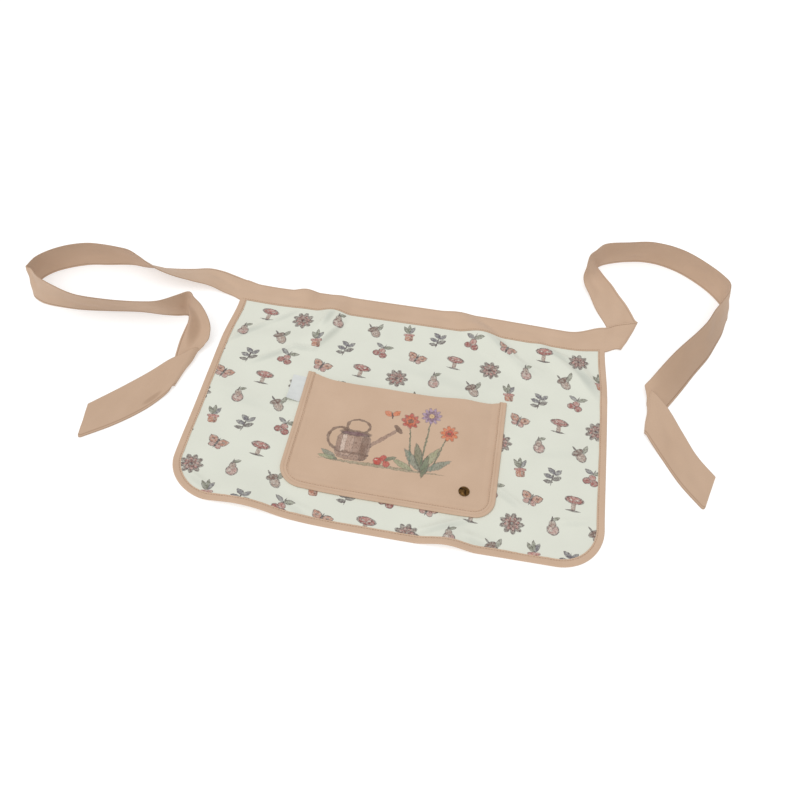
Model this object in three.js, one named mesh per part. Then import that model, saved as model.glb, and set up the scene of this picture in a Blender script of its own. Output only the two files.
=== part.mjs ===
// A gardener's half apron, laid on a flat surface: a printed skirt panel with bound edges, a waistband
// that runs on into two long ties, and a wide patch pocket with a bound edge.
// The cloth is first described as it is cut, flat, and the function lay() then puts it down with its
// waves and folds. X runs along the waistband, Y from the hem to the waistband, Z up, in millimetres.
import * as THREE from "three";
import { mergeVertices } from "three/addons/utils/BufferGeometryUtils.js";

// Cloth
const clothThick = 1.0; // panel and pocket cloth
const leafThick = 1.0; // one leaf of a folded tape
const clearance = 0.35; // air between two pieces that touch
const tapeThick = 2 * (leafThick + clearance) + clothThick; // a tape round the edge of the cloth
const tapeSeat = leafThick + clearance; // height of the clasped cloth over the tape's underside

// Skirt panel
const panelWidth = 560;
const panelDrop = 362; // from the waistband's lower edge to the hem
const panelCorner = 62; // radius of the two lower corners
const panelTape = 10.5; // width of the binding
const seatFade = 34; // width over which the cloth sinks from the binding to the surface

// Waistband
const bandWidth = 38;
const bandSlot = 15; // how deep the panel's top edge is held in the band
const bandEndLeft = 43; // width where the left tie starts
const bandEndRight = 49; // width where the right tie starts
const flareLeft = 26; // length of the widening at the left end
const flareRight = 58;

// Ties
const tieWidth = 48;
const tieThick = 2.0; // four layers of the folded and stitched strap
const tieLeftLength = 930;
const tieRightLength = 960;

// Pocket
const pocketLeft = 136; // from the panel's left edge
const pocketWidth = 282;
const pocketTop = 121; // from the waistband's lower edge down to the mouth
const pocketDeep = 192; // from the mouth down to the bottom edge
const pocketCorner = 30;
const pocketTape = 10;
const mouthRise = 7; // how far the front stands off the panel at the mouth
const mouthSag = 14; // how far the mouth's edge droops in its middle

// Label and badge
const labelWide = 24;
const labelTall = 50;
const labelDrop = 4; // below the mouth
const labelTuck = 2; // how far the label reaches under the pocket's binding
const labelThick = 1.0;
const badgeRound = 15;
const badgeTall = 2.4;
const badgeRim = 0.7;
const badgeFromRight = 42; // from the pocket's right edge to the badge's middle
const badgeFromBottom = 36;

const degrees = Math.PI / 180;
const lerp = THREE.MathUtils.lerp;

// A table of two columns read at any place between its rows, along a smooth curve.
function readTable(rows, place, column) {
  let i = 1;
  while (i < rows.length - 1 && place > rows[i].at) i += 1;
  const [a, b] = [rows[i - 1], rows[i]];
  const before = rows[i - 2] ?? a;
  const after = rows[i + 1] ?? b;
  const span = b.at - a.at;
  const t = THREE.MathUtils.clamp((place - a.at) / span, 0, 1);
  const slopeA = before === a ? 0 : ((b[column] - before[column]) / (b.at - before.at)) * span;
  const slopeB = after === b ? 0 : ((after[column] - a[column]) / (after.at - a.at)) * span;
  const [t2, t3] = [t * t, t * t * t];
  return (
    (2 * t3 - 3 * t2 + 1) * a[column] +
    (t3 - 2 * t2 + t) * slopeA +
    (3 * t2 - 2 * t3) * b[column] +
    (t3 - t2) * slopeB
  );
}

// Sway: how far the sides lie from straight, at shares of the drop, as shares of the panel's width.
const sideSway = [
  { at: 0, left: 0.008, right: -0.001 },
  { at: 0.2, left: -0.006, right: 0.004 },
  { at: 0.4, left: -0.013, right: 0.002 },
  { at: 0.6, left: -0.019, right: -0.002 },
  { at: 0.8, left: -0.023, right: -0.006 },
  { at: 1, left: -0.025, right: -0.007 },
];

// Drift: how far the waist line and the hem lie from straight, at shares of the panel's width,
// as shares of the panel's drop.
const edgeDrift = [
  { at: 0, waist: 0.002, hem: 0.028 },
  { at: 0.1, waist: -0.002, hem: 0.022 },
  { at: 0.22, waist: 0.004, hem: 0.002 },
  { at: 0.34, waist: 0.004, hem: -0.011 },
  { at: 0.5, waist: 0.006, hem: -0.02 },
  { at: 0.66, waist: 0.006, hem: -0.025 },
  { at: 0.8, waist: 0, hem: -0.028 },
  { at: 0.92, waist: -0.004, hem: -0.031 },
  { at: 1, waist: 0.012, hem: -0.033 },
];

// Folds: long soft waves of the laid cloth. Across and down place the middle as shares of the panel's
// width and drop, turn is the fold's direction in degrees, long and wide are its half length and half
// width as shares of the panel's width, and high is its height as a share of the drop.
const folds = [
  { name: "left of the middle, from the band", across: 0.25, down: 0.03, turn: 78, long: 0.17, wide: 0.05, high: 0.024 },
  { name: "left shoulder of the band", across: 0.172, down: -0.09, turn: 95, long: 0.07, wide: 0.04, high: 0.016 },
  { name: "right of the middle, from the band", across: 0.68, down: 0.03, turn: -42, long: 0.2, wide: 0.045, high: 0.024 },
  { name: "right shoulder, long", across: 0.9, down: 0.12, turn: -43, long: 0.16, wide: 0.032, high: 0.019 },
  { name: "left side", across: 0.11, down: 0.19, turn: 12, long: 0.14, wide: 0.045, high: 0.01 },
  { name: "wave in the hem, left", across: 0.185, down: 0.99, turn: 84, long: 0.12, wide: 0.105, high: 0.021 },
  { name: "wave in the hem, right", across: 0.645, down: 1.0, turn: 80, long: 0.09, wide: 0.07, high: 0.024 },
  { name: "right end of the band, over the folded tie", across: 1.06, down: -0.13, turn: 90, long: 0.15, wide: 0.12, high: 0.013 },
];

// Height of the laid cloth over the surface, for a place on the flat cut.
function foldHeight(X, Y) {
  let height = 0;
  for (const fold of folds) {
    const dx = X - fold.across * panelWidth;
    const dy = Y + fold.down * panelDrop;
    const turn = fold.turn * degrees;
    const along = (dx * Math.cos(turn) + dy * Math.sin(turn)) / (fold.long * panelWidth);
    const across = (dy * Math.cos(turn) - dx * Math.sin(turn)) / (fold.wide * panelWidth);
    const far = along * along + across * across;
    if (far < 1) height += fold.high * panelDrop * (1 - far) ** 2;
  }
  return height;
}

// Puts a place of the flat cut down on the surface, with h over the lowest layer.
function lay(X, Y, h) {
  const u = X / panelWidth;
  const v = THREE.MathUtils.clamp(-Y / panelDrop, 0, 1);
  const uIn = THREE.MathUtils.clamp(u, 0, 1);
  const sway = lerp(readTable(sideSway, v, "left"), readTable(sideSway, v, "right"), uIn) * panelWidth;
  const drift = lerp(readTable(edgeDrift, uIn, "waist"), readTable(edgeDrift, uIn, "hem"), v) * panelDrop;
  return new THREE.Vector3(X + sway, Y + drift, foldHeight(X, Y) + h);
}

// How far inside the bound edges a place of the flat cut lies.
function insetOf(X, Y) {
  const side = Math.min(X, panelWidth - X);
  const low = Y + panelDrop;
  const round = Math.hypot(panelCorner - side, panelCorner - low);
  if (side < panelCorner && low < panelCorner) return panelCorner - round;
  return Math.min(side, low, -Y + panelTape);
}

// The panel's underside: on the tape's lower leaf at the edges, on the surface further in.
function panelUnder(X, Y) {
  return tapeSeat * (1 - THREE.MathUtils.smoothstep(insetOf(X, Y), panelTape, panelTape + seatFade));
}

function panelOver(X, Y) {
  return panelUnder(X, Y) + clothThick;
}

// A closed body from rings of points: each ring is a section, joined to the next, with a cap at both ends.
function loftRings(rings) {
  const count = rings[0].length;
  const points = rings.flat();
  const index = [];
  for (let r = 0; r < rings.length - 1; r += 1)
    for (let i = 0; i < count; i += 1) {
      const j = (i + 1) % count;
      addQuad(points, index, r * count + i, (r + 1) * count + i, (r + 1) * count + j, r * count + j);
    }
  const cap = THREE.ShapeUtils.triangulateShape(capOutline(rings[0]), []);
  const last = (rings.length - 1) * count;
  for (const [a, b, c] of cap) index.push(a, b, c);
  const capEnd = THREE.ShapeUtils.triangulateShape(capOutline(rings.at(-1)), []);
  for (const [a, b, c] of capEnd) index.push(last + a, last + c, last + b);
  return weld(points, index);
}

// Splits a four-cornered face along its higher diagonal, so that pieces that lie against each other
// bend along the same lines.
function addQuad(points, index, a, b, c, d) {
  if (points[a].z + points[c].z > points[b].z + points[d].z) index.push(a, b, c, a, c, d);
  else index.push(b, c, d, b, d, a);
}

// The outline of a cap in its own plane, for triangulating it. It keeps the points' order and turn.
function capOutline(ring) {
  const middle = ring.reduce((sum, p) => sum.add(p), new THREE.Vector3()).divideScalar(ring.length);
  const normal = new THREE.Vector3();
  for (let i = 0; i < ring.length; i += 1) {
    const a = ring[i].clone().sub(middle);
    const b = ring[(i + 1) % ring.length].clone().sub(middle);
    normal.add(a.cross(b));
  }
  normal.normalize();
  const side = ring[1].clone().sub(ring[0]).normalize();
  const up = normal.clone().cross(side);
  return ring.map((p) => new THREE.Vector2(p.clone().sub(middle).dot(side), p.clone().sub(middle).dot(up)));
}

// Merges points that coincide and drops the faces that have shrunk to a line.
function weld(points, index) {
  const raw = new THREE.BufferGeometry().setFromPoints(points);
  raw.setIndex(index);
  const merged = mergeVertices(raw, 1e-3);
  const old = merged.index.array;
  const kept = [];
  for (let i = 0; i < old.length; i += 3) {
    const [a, b, c] = [old[i], old[i + 1], old[i + 2]];
    if (a !== b && b !== c && a !== c) kept.push(a, b, c);
  }
  merged.setIndex(facingOut(merged.attributes.position, kept));
  merged.computeVertexNormals();
  return merged;
}

// Turns all faces over where the body they close would be inside out.
function facingOut(position, faces) {
  const [a, b, c] = [new THREE.Vector3(), new THREE.Vector3(), new THREE.Vector3()];
  let volume = 0;
  for (let i = 0; i < faces.length; i += 3) {
    a.fromBufferAttribute(position, faces[i]);
    b.fromBufferAttribute(position, faces[i + 1]);
    c.fromBufferAttribute(position, faces[i + 2]);
    volume += a.dot(b.cross(c));
  }
  return volume > 0 ? faces : faces.reverse();
}

// A sheet of cloth from a grid of places on the flat cut, with its underside and upper side as heights.
function sheetFromGrid(grid, under, over) {
  const rows = grid.length;
  const columns = grid[0].length;
  const points = [under, over].flatMap((side) => grid.flat().map(([X, Y]) => lay(X, Y, side(X, Y))));
  const top = rows * columns;
  const at = (r, c) => r * columns + c;
  const index = [];
  for (let r = 0; r < rows - 1; r += 1)
    for (let c = 0; c < columns - 1; c += 1) {
      const [a, b, d, e] = [at(r, c), at(r, c + 1), at(r + 1, c + 1), at(r + 1, c)];
      addQuad(points, index, a, e, d, b);
      addQuad(points, index, top + a, top + b, top + d, top + e);
    }
  const rim = [];
  for (let c = 0; c < columns - 1; c += 1) rim.push([at(0, c), at(0, c + 1)]);
  for (let r = 0; r < rows - 1; r += 1) rim.push([at(r, columns - 1), at(r + 1, columns - 1)]);
  for (let c = columns - 1; c > 0; c -= 1) rim.push([at(rows - 1, c), at(rows - 1, c - 1)]);
  for (let r = rows - 1; r > 0; r -= 1) rim.push([at(r, 0), at(r - 1, 0)]);
  for (const [a, b] of rim) index.push(a, b, top + b, a, top + b, top + a);
  return weld(points, index);
}

// Stations along a line from a to b with steps of about the given length, the ends included.
function stations(a, b, step) {
  const count = Math.max(1, Math.round(Math.abs(b - a) / step));
  return Array.from({ length: count + 1 }, (_, i) => lerp(a, b, i / count));
}

// The places where the columns and rows of a bound sheet cross: a rounded rectangle, cut in by inset.
// Its stations are shared by the sheet and its tape, so that both bend along the same lines.
function boundCut(left, width, bottom, top, corner, tape) {
  const right = left + width;
  const rim = leafThick + 2 * clearance;
  const cornerStep = corner / 4;
  return {
    left,
    right,
    bottom,
    top,
    corner,
    tape,
    inset: rim,
    columns: [
      left + rim,
      ...stations(left + tape, left + corner, cornerStep),
      ...stations(left + corner, right - corner, sheetStep).slice(1, -1),
      ...stations(right - corner, right - tape, cornerStep),
      right - rim,
    ],
    rows: [
      bottom + rim,
      ...stations(bottom + tape, bottom + corner, cornerStep),
      ...stations(bottom + corner, top, sheetStep).slice(1),
    ],
  };
}

const sheetStep = 15;

// The grid of a bound sheet: in the corners the rows close up towards the round edge.
function boundGrid(cut) {
  const low = cut.bottom + cut.corner;
  const reach = cut.corner - cut.inset;
  return cut.rows.map((Y) =>
    cut.columns.map((X) => {
      const out = Math.max(cut.left + cut.corner - X, X - (cut.right - cut.corner), 0);
      const share = Math.max(low - Y, 0) / reach;
      return [X, Y < low ? low - share * Math.sqrt(Math.max(reach * reach - out * out, 0)) : Y];
    }),
  );
}

// The line that a tape follows, down the left side, along the bottom and up the right side, as places
// with their inward direction.
function tapeLine(cut, sideTop) {
  const { left, right, bottom, corner } = cut;
  const sideRows = cut.rows.filter((Y) => Y > bottom + corner + 1 && Y < sideTop - 1);
  const hemColumns = cut.columns.filter((X) => X > left + corner + 1 && X < right - corner - 1);
  const line = [];
  line.push({ X: left, Y: sideTop, inX: 1, inY: 0 });
  for (const Y of [...sideRows].reverse()) line.push({ X: left, Y, inX: 1, inY: 0 });
  for (const turn of stations(0, 90, 15))
    line.push({
      X: left + corner - corner * Math.cos(turn * degrees),
      Y: bottom + corner - corner * Math.sin(turn * degrees),
      inX: Math.cos(turn * degrees),
      inY: Math.sin(turn * degrees),
    });
  for (const X of hemColumns) line.push({ X, Y: bottom, inX: 0, inY: 1 });
  for (const turn of stations(90, 0, 15))
    line.push({
      X: right - corner + corner * Math.cos(turn * degrees),
      Y: bottom + corner - corner * Math.sin(turn * degrees),
      inX: -Math.cos(turn * degrees),
      inY: Math.sin(turn * degrees),
    });
  for (const Y of sideRows) line.push({ X: right, Y, inX: -1, inY: 0 });
  line.push({ X: right, Y: sideTop, inX: -1, inY: 0 });
  return line;
}

// A folded tape that clasps an edge. Its section is a U with the fold outside and the cloth in its slot.
function foldedTape(line, width, base) {
  const round = leafThick * 0.6;
  const section = [
    [width, 0],
    [width, leafThick],
    [leafThick, leafThick],
    [leafThick, tapeThick - leafThick],
    [width, tapeThick - leafThick],
    [width, tapeThick],
    [round, tapeThick],
    [0, tapeThick - round],
    [0, round],
    [round, 0],
  ];
  const rings = line.map((place) =>
    section.map(([inwards, h]) => {
      const X = place.X + place.inX * inwards;
      const Y = place.Y + place.inY * inwards;
      return lay(X, Y, base(X, Y) + h);
    }),
  );
  return loftRings(rings);
}

// Panel: the flat cut reaches up into the waistband's slot.
const panelCut = boundCut(0, panelWidth, -panelDrop, 0, panelCorner, panelTape);
function makePanel() {
  const grid = boundGrid(panelCut);
  const hidden = bandSlot - clearance;
  grid.push(panelCut.columns.map((X) => [X, hidden]));
  return sheetFromGrid(grid, panelUnder, panelOver);
}

function makePanelBinding() {
  return foldedTape(tapeLine(panelCut, -clearance), panelTape, () => 0);
}

// Waistband: two leaves folded over the panel's top edge, closing up above the slot.
function bandWidthAt(X) {
  const leftFlare = 1 - THREE.MathUtils.smoothstep(X, 0, flareLeft);
  const rightFlare = THREE.MathUtils.smoothstep(X, panelWidth - flareRight, panelWidth);
  return bandWidth + (bandEndLeft - bandWidth) * leftFlare + (bandEndRight - bandWidth) * rightFlare;
}

function bandSection(X) {
  const top = bandWidthAt(X);
  const round = tieThick * 0.35;
  const shoulder = bandSlot + 2 * leafThick;
  return [
    [0, 0],
    [0, leafThick],
    [bandSlot, leafThick],
    [bandSlot, tapeThick - leafThick],
    [0, tapeThick - leafThick],
    [0, tapeThick],
    [shoulder, tapeThick],
    [shoulder + 8, tieThick],
    [top - round, tieThick],
    [top, tieThick - round],
    [top, round],
    [top - round, 0],
  ];
}

function makeWaistband() {
  const columns = [0, ...panelCut.columns.slice(1, -1), panelWidth];
  const rings = columns.map((X) => bandSection(X).map(([Y, h]) => lay(X, Y, h)));
  return loftRings(rings);
}

// Ties. A row stands for one cross line of the strap. x and y place its lower edge, measured from the
// waistband's end, and up is its height over the surface, all three as shares of the tie's length.
// bearing is the direction in which the other edge lies, in degrees from the X axis, lean is the
// angle at which it rises, and reach is the length of the cross line as a share of the strap's width:
// 1 is square across and more is slanting, as on a folded corner.
const tieLeftRows = [
  { x: -0.022, y: 0.053, up: 0, bearing: -77, lean: 1, reach: 0.97 },
  { x: -0.04, y: 0.058, up: 0, bearing: -78, lean: 4, reach: 0.99 },
  { x: -0.063, y: 0.06, up: 0, bearing: -77, lean: 12, reach: 1 },
  { x: -0.09, y: 0.053, up: 0, bearing: -78, lean: 23, reach: 1 },
  { x: -0.12, y: 0.047, up: 0, bearing: -81, lean: 34, reach: 1 },
  { x: -0.145, y: 0.044, up: 0, bearing: -84, lean: 46, reach: 1 },
  { x: -0.168, y: 0.042, up: 0, bearing: -88, lean: 63, reach: 1 },
  { x: -0.186, y: 0.043, up: 0, bearing: -86, lean: 71, reach: 1 },
  { x: -0.207, y: 0.042, up: 0, bearing: -81, lean: 75, reach: 1 },
  { x: -0.229, y: 0.037, up: 0, bearing: -75, lean: 80, reach: 1 },
  { x: -0.252, y: 0.03, up: 0, bearing: -70, lean: 83, reach: 1 },
  { x: -0.28, y: 0.017, up: 0, bearing: -59, lean: 84, reach: 1 },
  { x: -0.304, y: -0.003, up: 0, bearing: -42, lean: 86, reach: 1 },
  { x: -0.318, y: -0.022, up: 0, bearing: -20, lean: 88, reach: 1 },
  { x: -0.321, y: -0.042, up: 0, bearing: 90, lean: 88, reach: 1.03 },
  { x: -0.315, y: -0.058, up: 0, bearing: 118, lean: 78, reach: 1.09 },
  { x: -0.303, y: -0.068, up: 0, bearing: 124, lean: 68, reach: 1.14 },
  { x: -0.29, y: -0.071, up: 0, bearing: 145, lean: 77, reach: 1.08 },
  { x: -0.27, y: -0.072, up: 0, bearing: -90, lean: 85, reach: 1 },
  { x: -0.236, y: -0.071, up: 0, bearing: -86, lean: 73, reach: 1 },
  { x: -0.188, y: -0.064, up: 0, bearing: -80, lean: 66, reach: 1 },
  { x: -0.145, y: -0.057, up: 0, bearing: -82, lean: 64, reach: 1 },
  { x: -0.112, y: -0.055, up: 0, bearing: -84, lean: 69, reach: 1 },
  { x: -0.088, y: -0.052, up: 0, bearing: -80, lean: 82, reach: 1 },
  { x: -0.071, y: -0.048, up: 0, bearing: -78, lean: 89, reach: 1 },
  { x: -0.066, y: -0.052, up: 0, bearing: 2, lean: 78, reach: 1 },
  { x: -0.063, y: -0.064, up: 0, bearing: -3, lean: 62, reach: 1 },
  { x: -0.065, y: -0.078, up: 0, bearing: 1, lean: 43, reach: 1 },
  { x: -0.067, y: -0.091, up: 0, bearing: 5, lean: 29, reach: 1 },
  { x: -0.067, y: -0.105, up: 0, bearing: 11, lean: 21, reach: 0.99 },
  { x: -0.066, y: -0.121, up: 0, bearing: 20, lean: 15, reach: 0.98 },
  { x: -0.065, y: -0.146, up: 0, bearing: 41, lean: 10, reach: 1.05 },
  { x: -0.061, y: -0.173, up: 0, bearing: 62, lean: 6, reach: 1.28 },
  { x: -0.056, y: -0.192, up: 0.001, bearing: 76, lean: 3, reach: 1.5 },
  { x: -0.054, y: -0.196, up: 0.004, bearing: 76, lean: 3, reach: 1.52 },
  { x: -0.056, y: -0.198, up: 0.008, bearing: 78, lean: 3, reach: 1.52 },
  { x: -0.059, y: -0.209, up: 0.007, bearing: 87, lean: 3, reach: 1.42 },
  { x: -0.066, y: -0.224, up: 0.002, bearing: 94, lean: 4, reach: 1.4 },
  { x: -0.084, y: -0.249, up: 0, bearing: 99, lean: 1, reach: 1.36 },
  { x: -0.117, y: -0.282, up: 0, bearing: 100, lean: 0, reach: 1.28 },
  { x: -0.157, y: -0.312, up: 0, bearing: 97, lean: 0, reach: 1.2 },
];

const tieRightRows = [
  { x: 0.02, y: 0.066, up: 0.002, bearing: -92, lean: 0, reach: 1.12 },
  { x: 0.04, y: 0.074, up: 0.004, bearing: -103, lean: 0, reach: 1.3 },
  { x: 0.052, y: 0.079, up: 0.004, bearing: -110, lean: 0, reach: 1.46 },
  { x: 0.056, y: 0.081, up: 0.0021, bearing: -110, lean: 0, reach: 1.49 },
  { x: 0.053, y: 0.084, up: 0, bearing: -110, lean: 0, reach: 1.48 },
  { x: 0.046, y: 0.098, up: 0, bearing: -117, lean: 0, reach: 1.38 },
  { x: 0.038, y: 0.114, up: 0, bearing: -126, lean: 0, reach: 1.24 },
  { x: 0.026, y: 0.134, up: 0, bearing: -132, lean: 2, reach: 1.17 },
  { x: 0.014, y: 0.155, up: 0, bearing: -137, lean: 6, reach: 1.08 },
  { x: 0.008, y: 0.166, up: 0, bearing: -144, lean: 12, reach: 1.01 },
  { x: 0.003, y: 0.175, up: 0, bearing: -142, lean: 22, reach: 1 },
  { x: -0.002, y: 0.184, up: 0, bearing: -136, lean: 36, reach: 1 },
  { x: -0.007, y: 0.193, up: 0, bearing: -138, lean: 54, reach: 1 },
  { x: -0.005, y: 0.198, up: 0, bearing: -142, lean: 64, reach: 1 },
  { x: 0.006, y: 0.205, up: 0, bearing: -160, lean: 72, reach: 1 },
  { x: 0.032, y: 0.216, up: 0, bearing: -85, lean: 84, reach: 1 },
  { x: 0.067, y: 0.224, up: 0, bearing: -81, lean: 85, reach: 1 },
  { x: 0.093, y: 0.225, up: 0, bearing: -97, lean: 83, reach: 1 },
  { x: 0.115, y: 0.219, up: 0, bearing: -111, lean: 85, reach: 1 },
  { x: 0.136, y: 0.209, up: 0, bearing: -123, lean: 86, reach: 1 },
  { x: 0.168, y: 0.184, up: 0, bearing: -133, lean: 89, reach: 1 },
  { x: 0.187, y: 0.163, up: 0, bearing: 36, lean: 89, reach: 1 },
  { x: 0.199, y: 0.144, up: 0, bearing: 120, lean: 86, reach: 1.02 },
  { x: 0.207, y: 0.122, up: 0, bearing: 150, lean: 74, reach: 1.04 },
  { x: 0.201, y: 0.103, up: 0, bearing: 161, lean: 68, reach: 1 },
  { x: 0.193, y: 0.078, up: 0, bearing: 158, lean: 60, reach: 1 },
  { x: 0.178, y: 0.048, up: 0, bearing: 155, lean: 59, reach: 1 },
  { x: 0.165, y: 0.021, up: 0, bearing: 150, lean: 54, reach: 1 },
  { x: 0.137, y: -0.024, up: 0, bearing: 149, lean: 42, reach: 1 },
  { x: 0.12, y: -0.053, up: 0, bearing: 145, lean: 34, reach: 1.01 },
  { x: 0.093, y: -0.096, up: 0, bearing: 126, lean: 20, reach: 1.02 },
  { x: 0.075, y: -0.125, up: 0, bearing: 104, lean: 10, reach: 1.28 },
  { x: 0.062, y: -0.146, up: 0.001, bearing: 86, lean: 5, reach: 1.75 },
  { x: 0.06, y: -0.151, up: 0.003, bearing: 85, lean: 4, reach: 1.8 },
  { x: 0.062, y: -0.154, up: 0.006, bearing: 83, lean: 4, reach: 1.78 },
  { x: 0.069, y: -0.168, up: 0.004, bearing: 70, lean: 4, reach: 1.48 },
  { x: 0.082, y: -0.188, up: 0, bearing: 60, lean: 3, reach: 1.2 },
  { x: 0.106, y: -0.226, up: 0, bearing: 62, lean: 0, reach: 1.16 },
  { x: 0.137, y: -0.262, up: 0, bearing: 71, lean: 0, reach: 1.2 },
];

const rowSteps = 2; // sections between two rows

// The two edges of the strap's middle layer, as curves through the rows.
function tieEdges(rows, start, length) {
  const low = [start.low];
  const other = [start.other];
  for (const row of rows) {
    const rest = (tieThick / 2) * Math.abs(Math.cos(row.lean * degrees));
    const edge = new THREE.Vector3(
      start.corner.x + row.x * length,
      start.corner.y + row.y * length,
      row.up * length + rest,
    );
    const flat = Math.cos(row.lean * degrees);
    const across = new THREE.Vector3(
      flat * Math.cos(row.bearing * degrees),
      flat * Math.sin(row.bearing * degrees),
      Math.sin(row.lean * degrees),
    );
    low.push(edge);
    other.push(edge.clone().addScaledVector(across, row.reach * tieWidth));
  }
  return [low, other].map((points) => new THREE.CatmullRomCurve3(points, false, "centripetal"));
}

function makeTie(rows, start, length) {
  const [low, other] = tieEdges(rows, start, length);
  const count = rows.length * rowSteps;
  const places = Array.from({ length: count + 1 }, (_, i) => i / count);
  const lows = places.map((t) => low.getPoint(t));
  const others = places.map((t) => other.getPoint(t));
  const rings = places.map((_, i) => {
    const [before, after] = [Math.max(i - 1, 0), Math.min(i + 1, count)];
    const section = [lows, others].map((edge) => {
      const along = edge[after].clone().sub(edge[before]);
      if (along.length() < 1) along.copy(lows[after]).add(others[after]).sub(lows[before]).sub(others[before]);
      const across = others[i].clone().sub(lows[i]);
      const face = along.cross(across).normalize().multiplyScalar(tieThick / 2);
      return [edge[i].clone().add(face), edge[i].clone().sub(face)];
    });
    const ring = [section[0][0], section[1][0], section[1][1], section[0][1]];
    for (const p of ring) p.z = Math.max(p.z, 0);
    return ring;
  });
  return loftRings(rings);
}

// Where a tie starts: the middle of the waistband's end, a clearance away from it.
function tieStart(X, outwards) {
  const at = X + outwards * clearance;
  const width = X === 0 ? bandEndLeft : bandEndRight;
  return {
    corner: lay(X, 0, 0),
    low: lay(at, width, tieThick / 2),
    other: lay(at, 0, tieThick / 2),
  };
}

// Pocket: its tape lies on the panel, and the front stands off between the tapes, most at the mouth.
const pocketCut = boundCut(
  pocketLeft,
  pocketWidth,
  -pocketTop - pocketDeep,
  -pocketTop,
  pocketCorner,
  pocketTape,
);

function pocketBase(X, Y) {
  return panelOver(X, Y) + clearance;
}

// The mouth over the pocket's width: how full it stands, as a share of the mouth's rise, and how far
// its edge droops, as a share of the mouth's sag.
const mouthShape = [
  { at: 0, rise: 0, sag: 0 },
  { at: 0.15, rise: 0.7, sag: 0.8 },
  { at: 0.4, rise: 1, sag: 1 },
  { at: 0.65, rise: 1, sag: 1 },
  { at: 0.81, rise: 1.35, sag: 0.85 },
  { at: 0.9, rise: 0.7, sag: 0.6 },
  { at: 1, rise: 0, sag: 0 },
];

function pocketRise(X, Y) {
  const inner = pocketTape;
  const across = (X - pocketLeft - inner) / (pocketWidth - 2 * inner);
  const up = (Y + pocketTop + pocketDeep - inner) / (pocketDeep - inner);
  if (across <= 0 || across >= 1 || up <= 0) return 0;
  return mouthRise * readTable(mouthShape, across, "rise") * Math.sin((Math.min(up, 1) * Math.PI) / 2) ** 1.5;
}

function pocketUnder(X, Y) {
  return pocketBase(X, Y) + tapeSeat + pocketRise(X, Y);
}

function pocketOver(X, Y) {
  return pocketUnder(X, Y) + clothThick;
}

// The mouth's edge droops between its two sewn ends, and the rows near it with it.
function droop(X, Y) {
  const across = THREE.MathUtils.clamp((X - pocketLeft) / pocketWidth, 0, 1);
  const up = THREE.MathUtils.clamp((Y + pocketTop + pocketDeep) / pocketDeep, 0, 1);
  return Y - mouthSag * readTable(mouthShape, across, "sag") * up ** 3;
}

function makePocket() {
  const grid = boundGrid(pocketCut).map((row) => row.map(([X, Y]) => [X, droop(X, Y)]));
  return sheetFromGrid(grid, pocketUnder, pocketOver);
}

function makePocketBinding() {
  return foldedTape(tapeLine(pocketCut, -pocketTop), pocketTape, pocketBase);
}

// Label: a blank folded tag that lies on the panel and reaches under the pocket's tape.
function makeLabel() {
  const right = pocketLeft - clearance;
  const top = -pocketTop - labelDrop;
  const grid = stations(top - labelTall, top, labelTall / 4).map((Y) =>
    stations(right - labelWide, right, labelWide / 3).map((X) => [X, Y]),
  );
  const under = (X, Y) => panelOver(X, Y) + clearance;
  return sheetFromGrid(grid, under, (X, Y) => under(X, Y) + labelThick);
}

// Badge: a plain domed metal button, set on the pocket.
function makeBadge() {
  const radius = badgeRound / 2;
  const profile = [
    [0, 0],
    [radius - badgeRim, 0],
    [radius, badgeRim],
    [radius, badgeTall * 0.5],
    [radius - badgeRim, badgeTall * 0.7],
    [radius * 0.5, badgeTall * 0.95],
    [0, badgeTall],
  ];
  const badge = new THREE.LatheGeometry(profile.map(([x, y]) => new THREE.Vector2(x, y)), 16);
  badge.rotateX(90 * degrees);
  badge.deleteAttribute("normal");
  badge.deleteAttribute("uv");
  const X = pocketLeft + pocketWidth - badgeFromRight;
  const Y = -pocketTop - pocketDeep + badgeFromBottom;
  const spread = [];
  for (const dx of [-radius, 0, radius])
    for (const dy of [-radius, 0, radius]) spread.push(lay(X + dx, Y + dy, pocketOver(X + dx, Y + dy)).z);
  const seat = lay(X, Y, 0);
  badge.translate(seat.x, seat.y, Math.max(...spread) + clearance);
  const points = [];
  const place = badge.attributes.position;
  for (let i = 0; i < place.count; i += 1) points.push(new THREE.Vector3().fromBufferAttribute(place, i));
  return weld(points, Array.from(badge.index.array));
}

// Materials
const strapTan = new THREE.MeshStandardMaterial({ color: 0xcaae94, roughness: 0.9, metalness: 0 });
const paleCloth = new THREE.MeshStandardMaterial({ color: 0xe2e4d6, roughness: 0.9, metalness: 0 });
const labelWhite = new THREE.MeshStandardMaterial({ color: 0xe6e4e0, roughness: 0.8, metalness: 0 });
const bronze = new THREE.MeshStandardMaterial({ color: 0x6b5636, roughness: 0.35, metalness: 1 });

const pieces = [
  ["panel", makePanel(), paleCloth],
  ["panel_binding", makePanelBinding(), strapTan],
  ["waistband", makeWaistband(), strapTan],
  ["tie_left", makeTie(tieLeftRows, tieStart(0, -1), tieLeftLength), strapTan],
  ["tie_right", makeTie(tieRightRows, tieStart(panelWidth, 1), tieRightLength), strapTan],
  ["pocket", makePocket(), strapTan],
  ["pocket_binding", makePocketBinding(), strapTan],
  ["label", makeLabel(), labelWhite],
  ["badge", makeBadge(), bronze],
];

const apron = new THREE.Group();
for (const [name, geometry, material] of pieces) {
  const mesh = new THREE.Mesh(geometry, material);
  mesh.name = name;
  apron.add(mesh);
}

// The origin is the middle of the box's underside.
const box = new THREE.Box3().setFromObject(apron);
const middle = box.getCenter(new THREE.Vector3());
for (const mesh of apron.children) mesh.position.set(-middle.x, -middle.y, -box.min.z);

export default apron;
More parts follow.
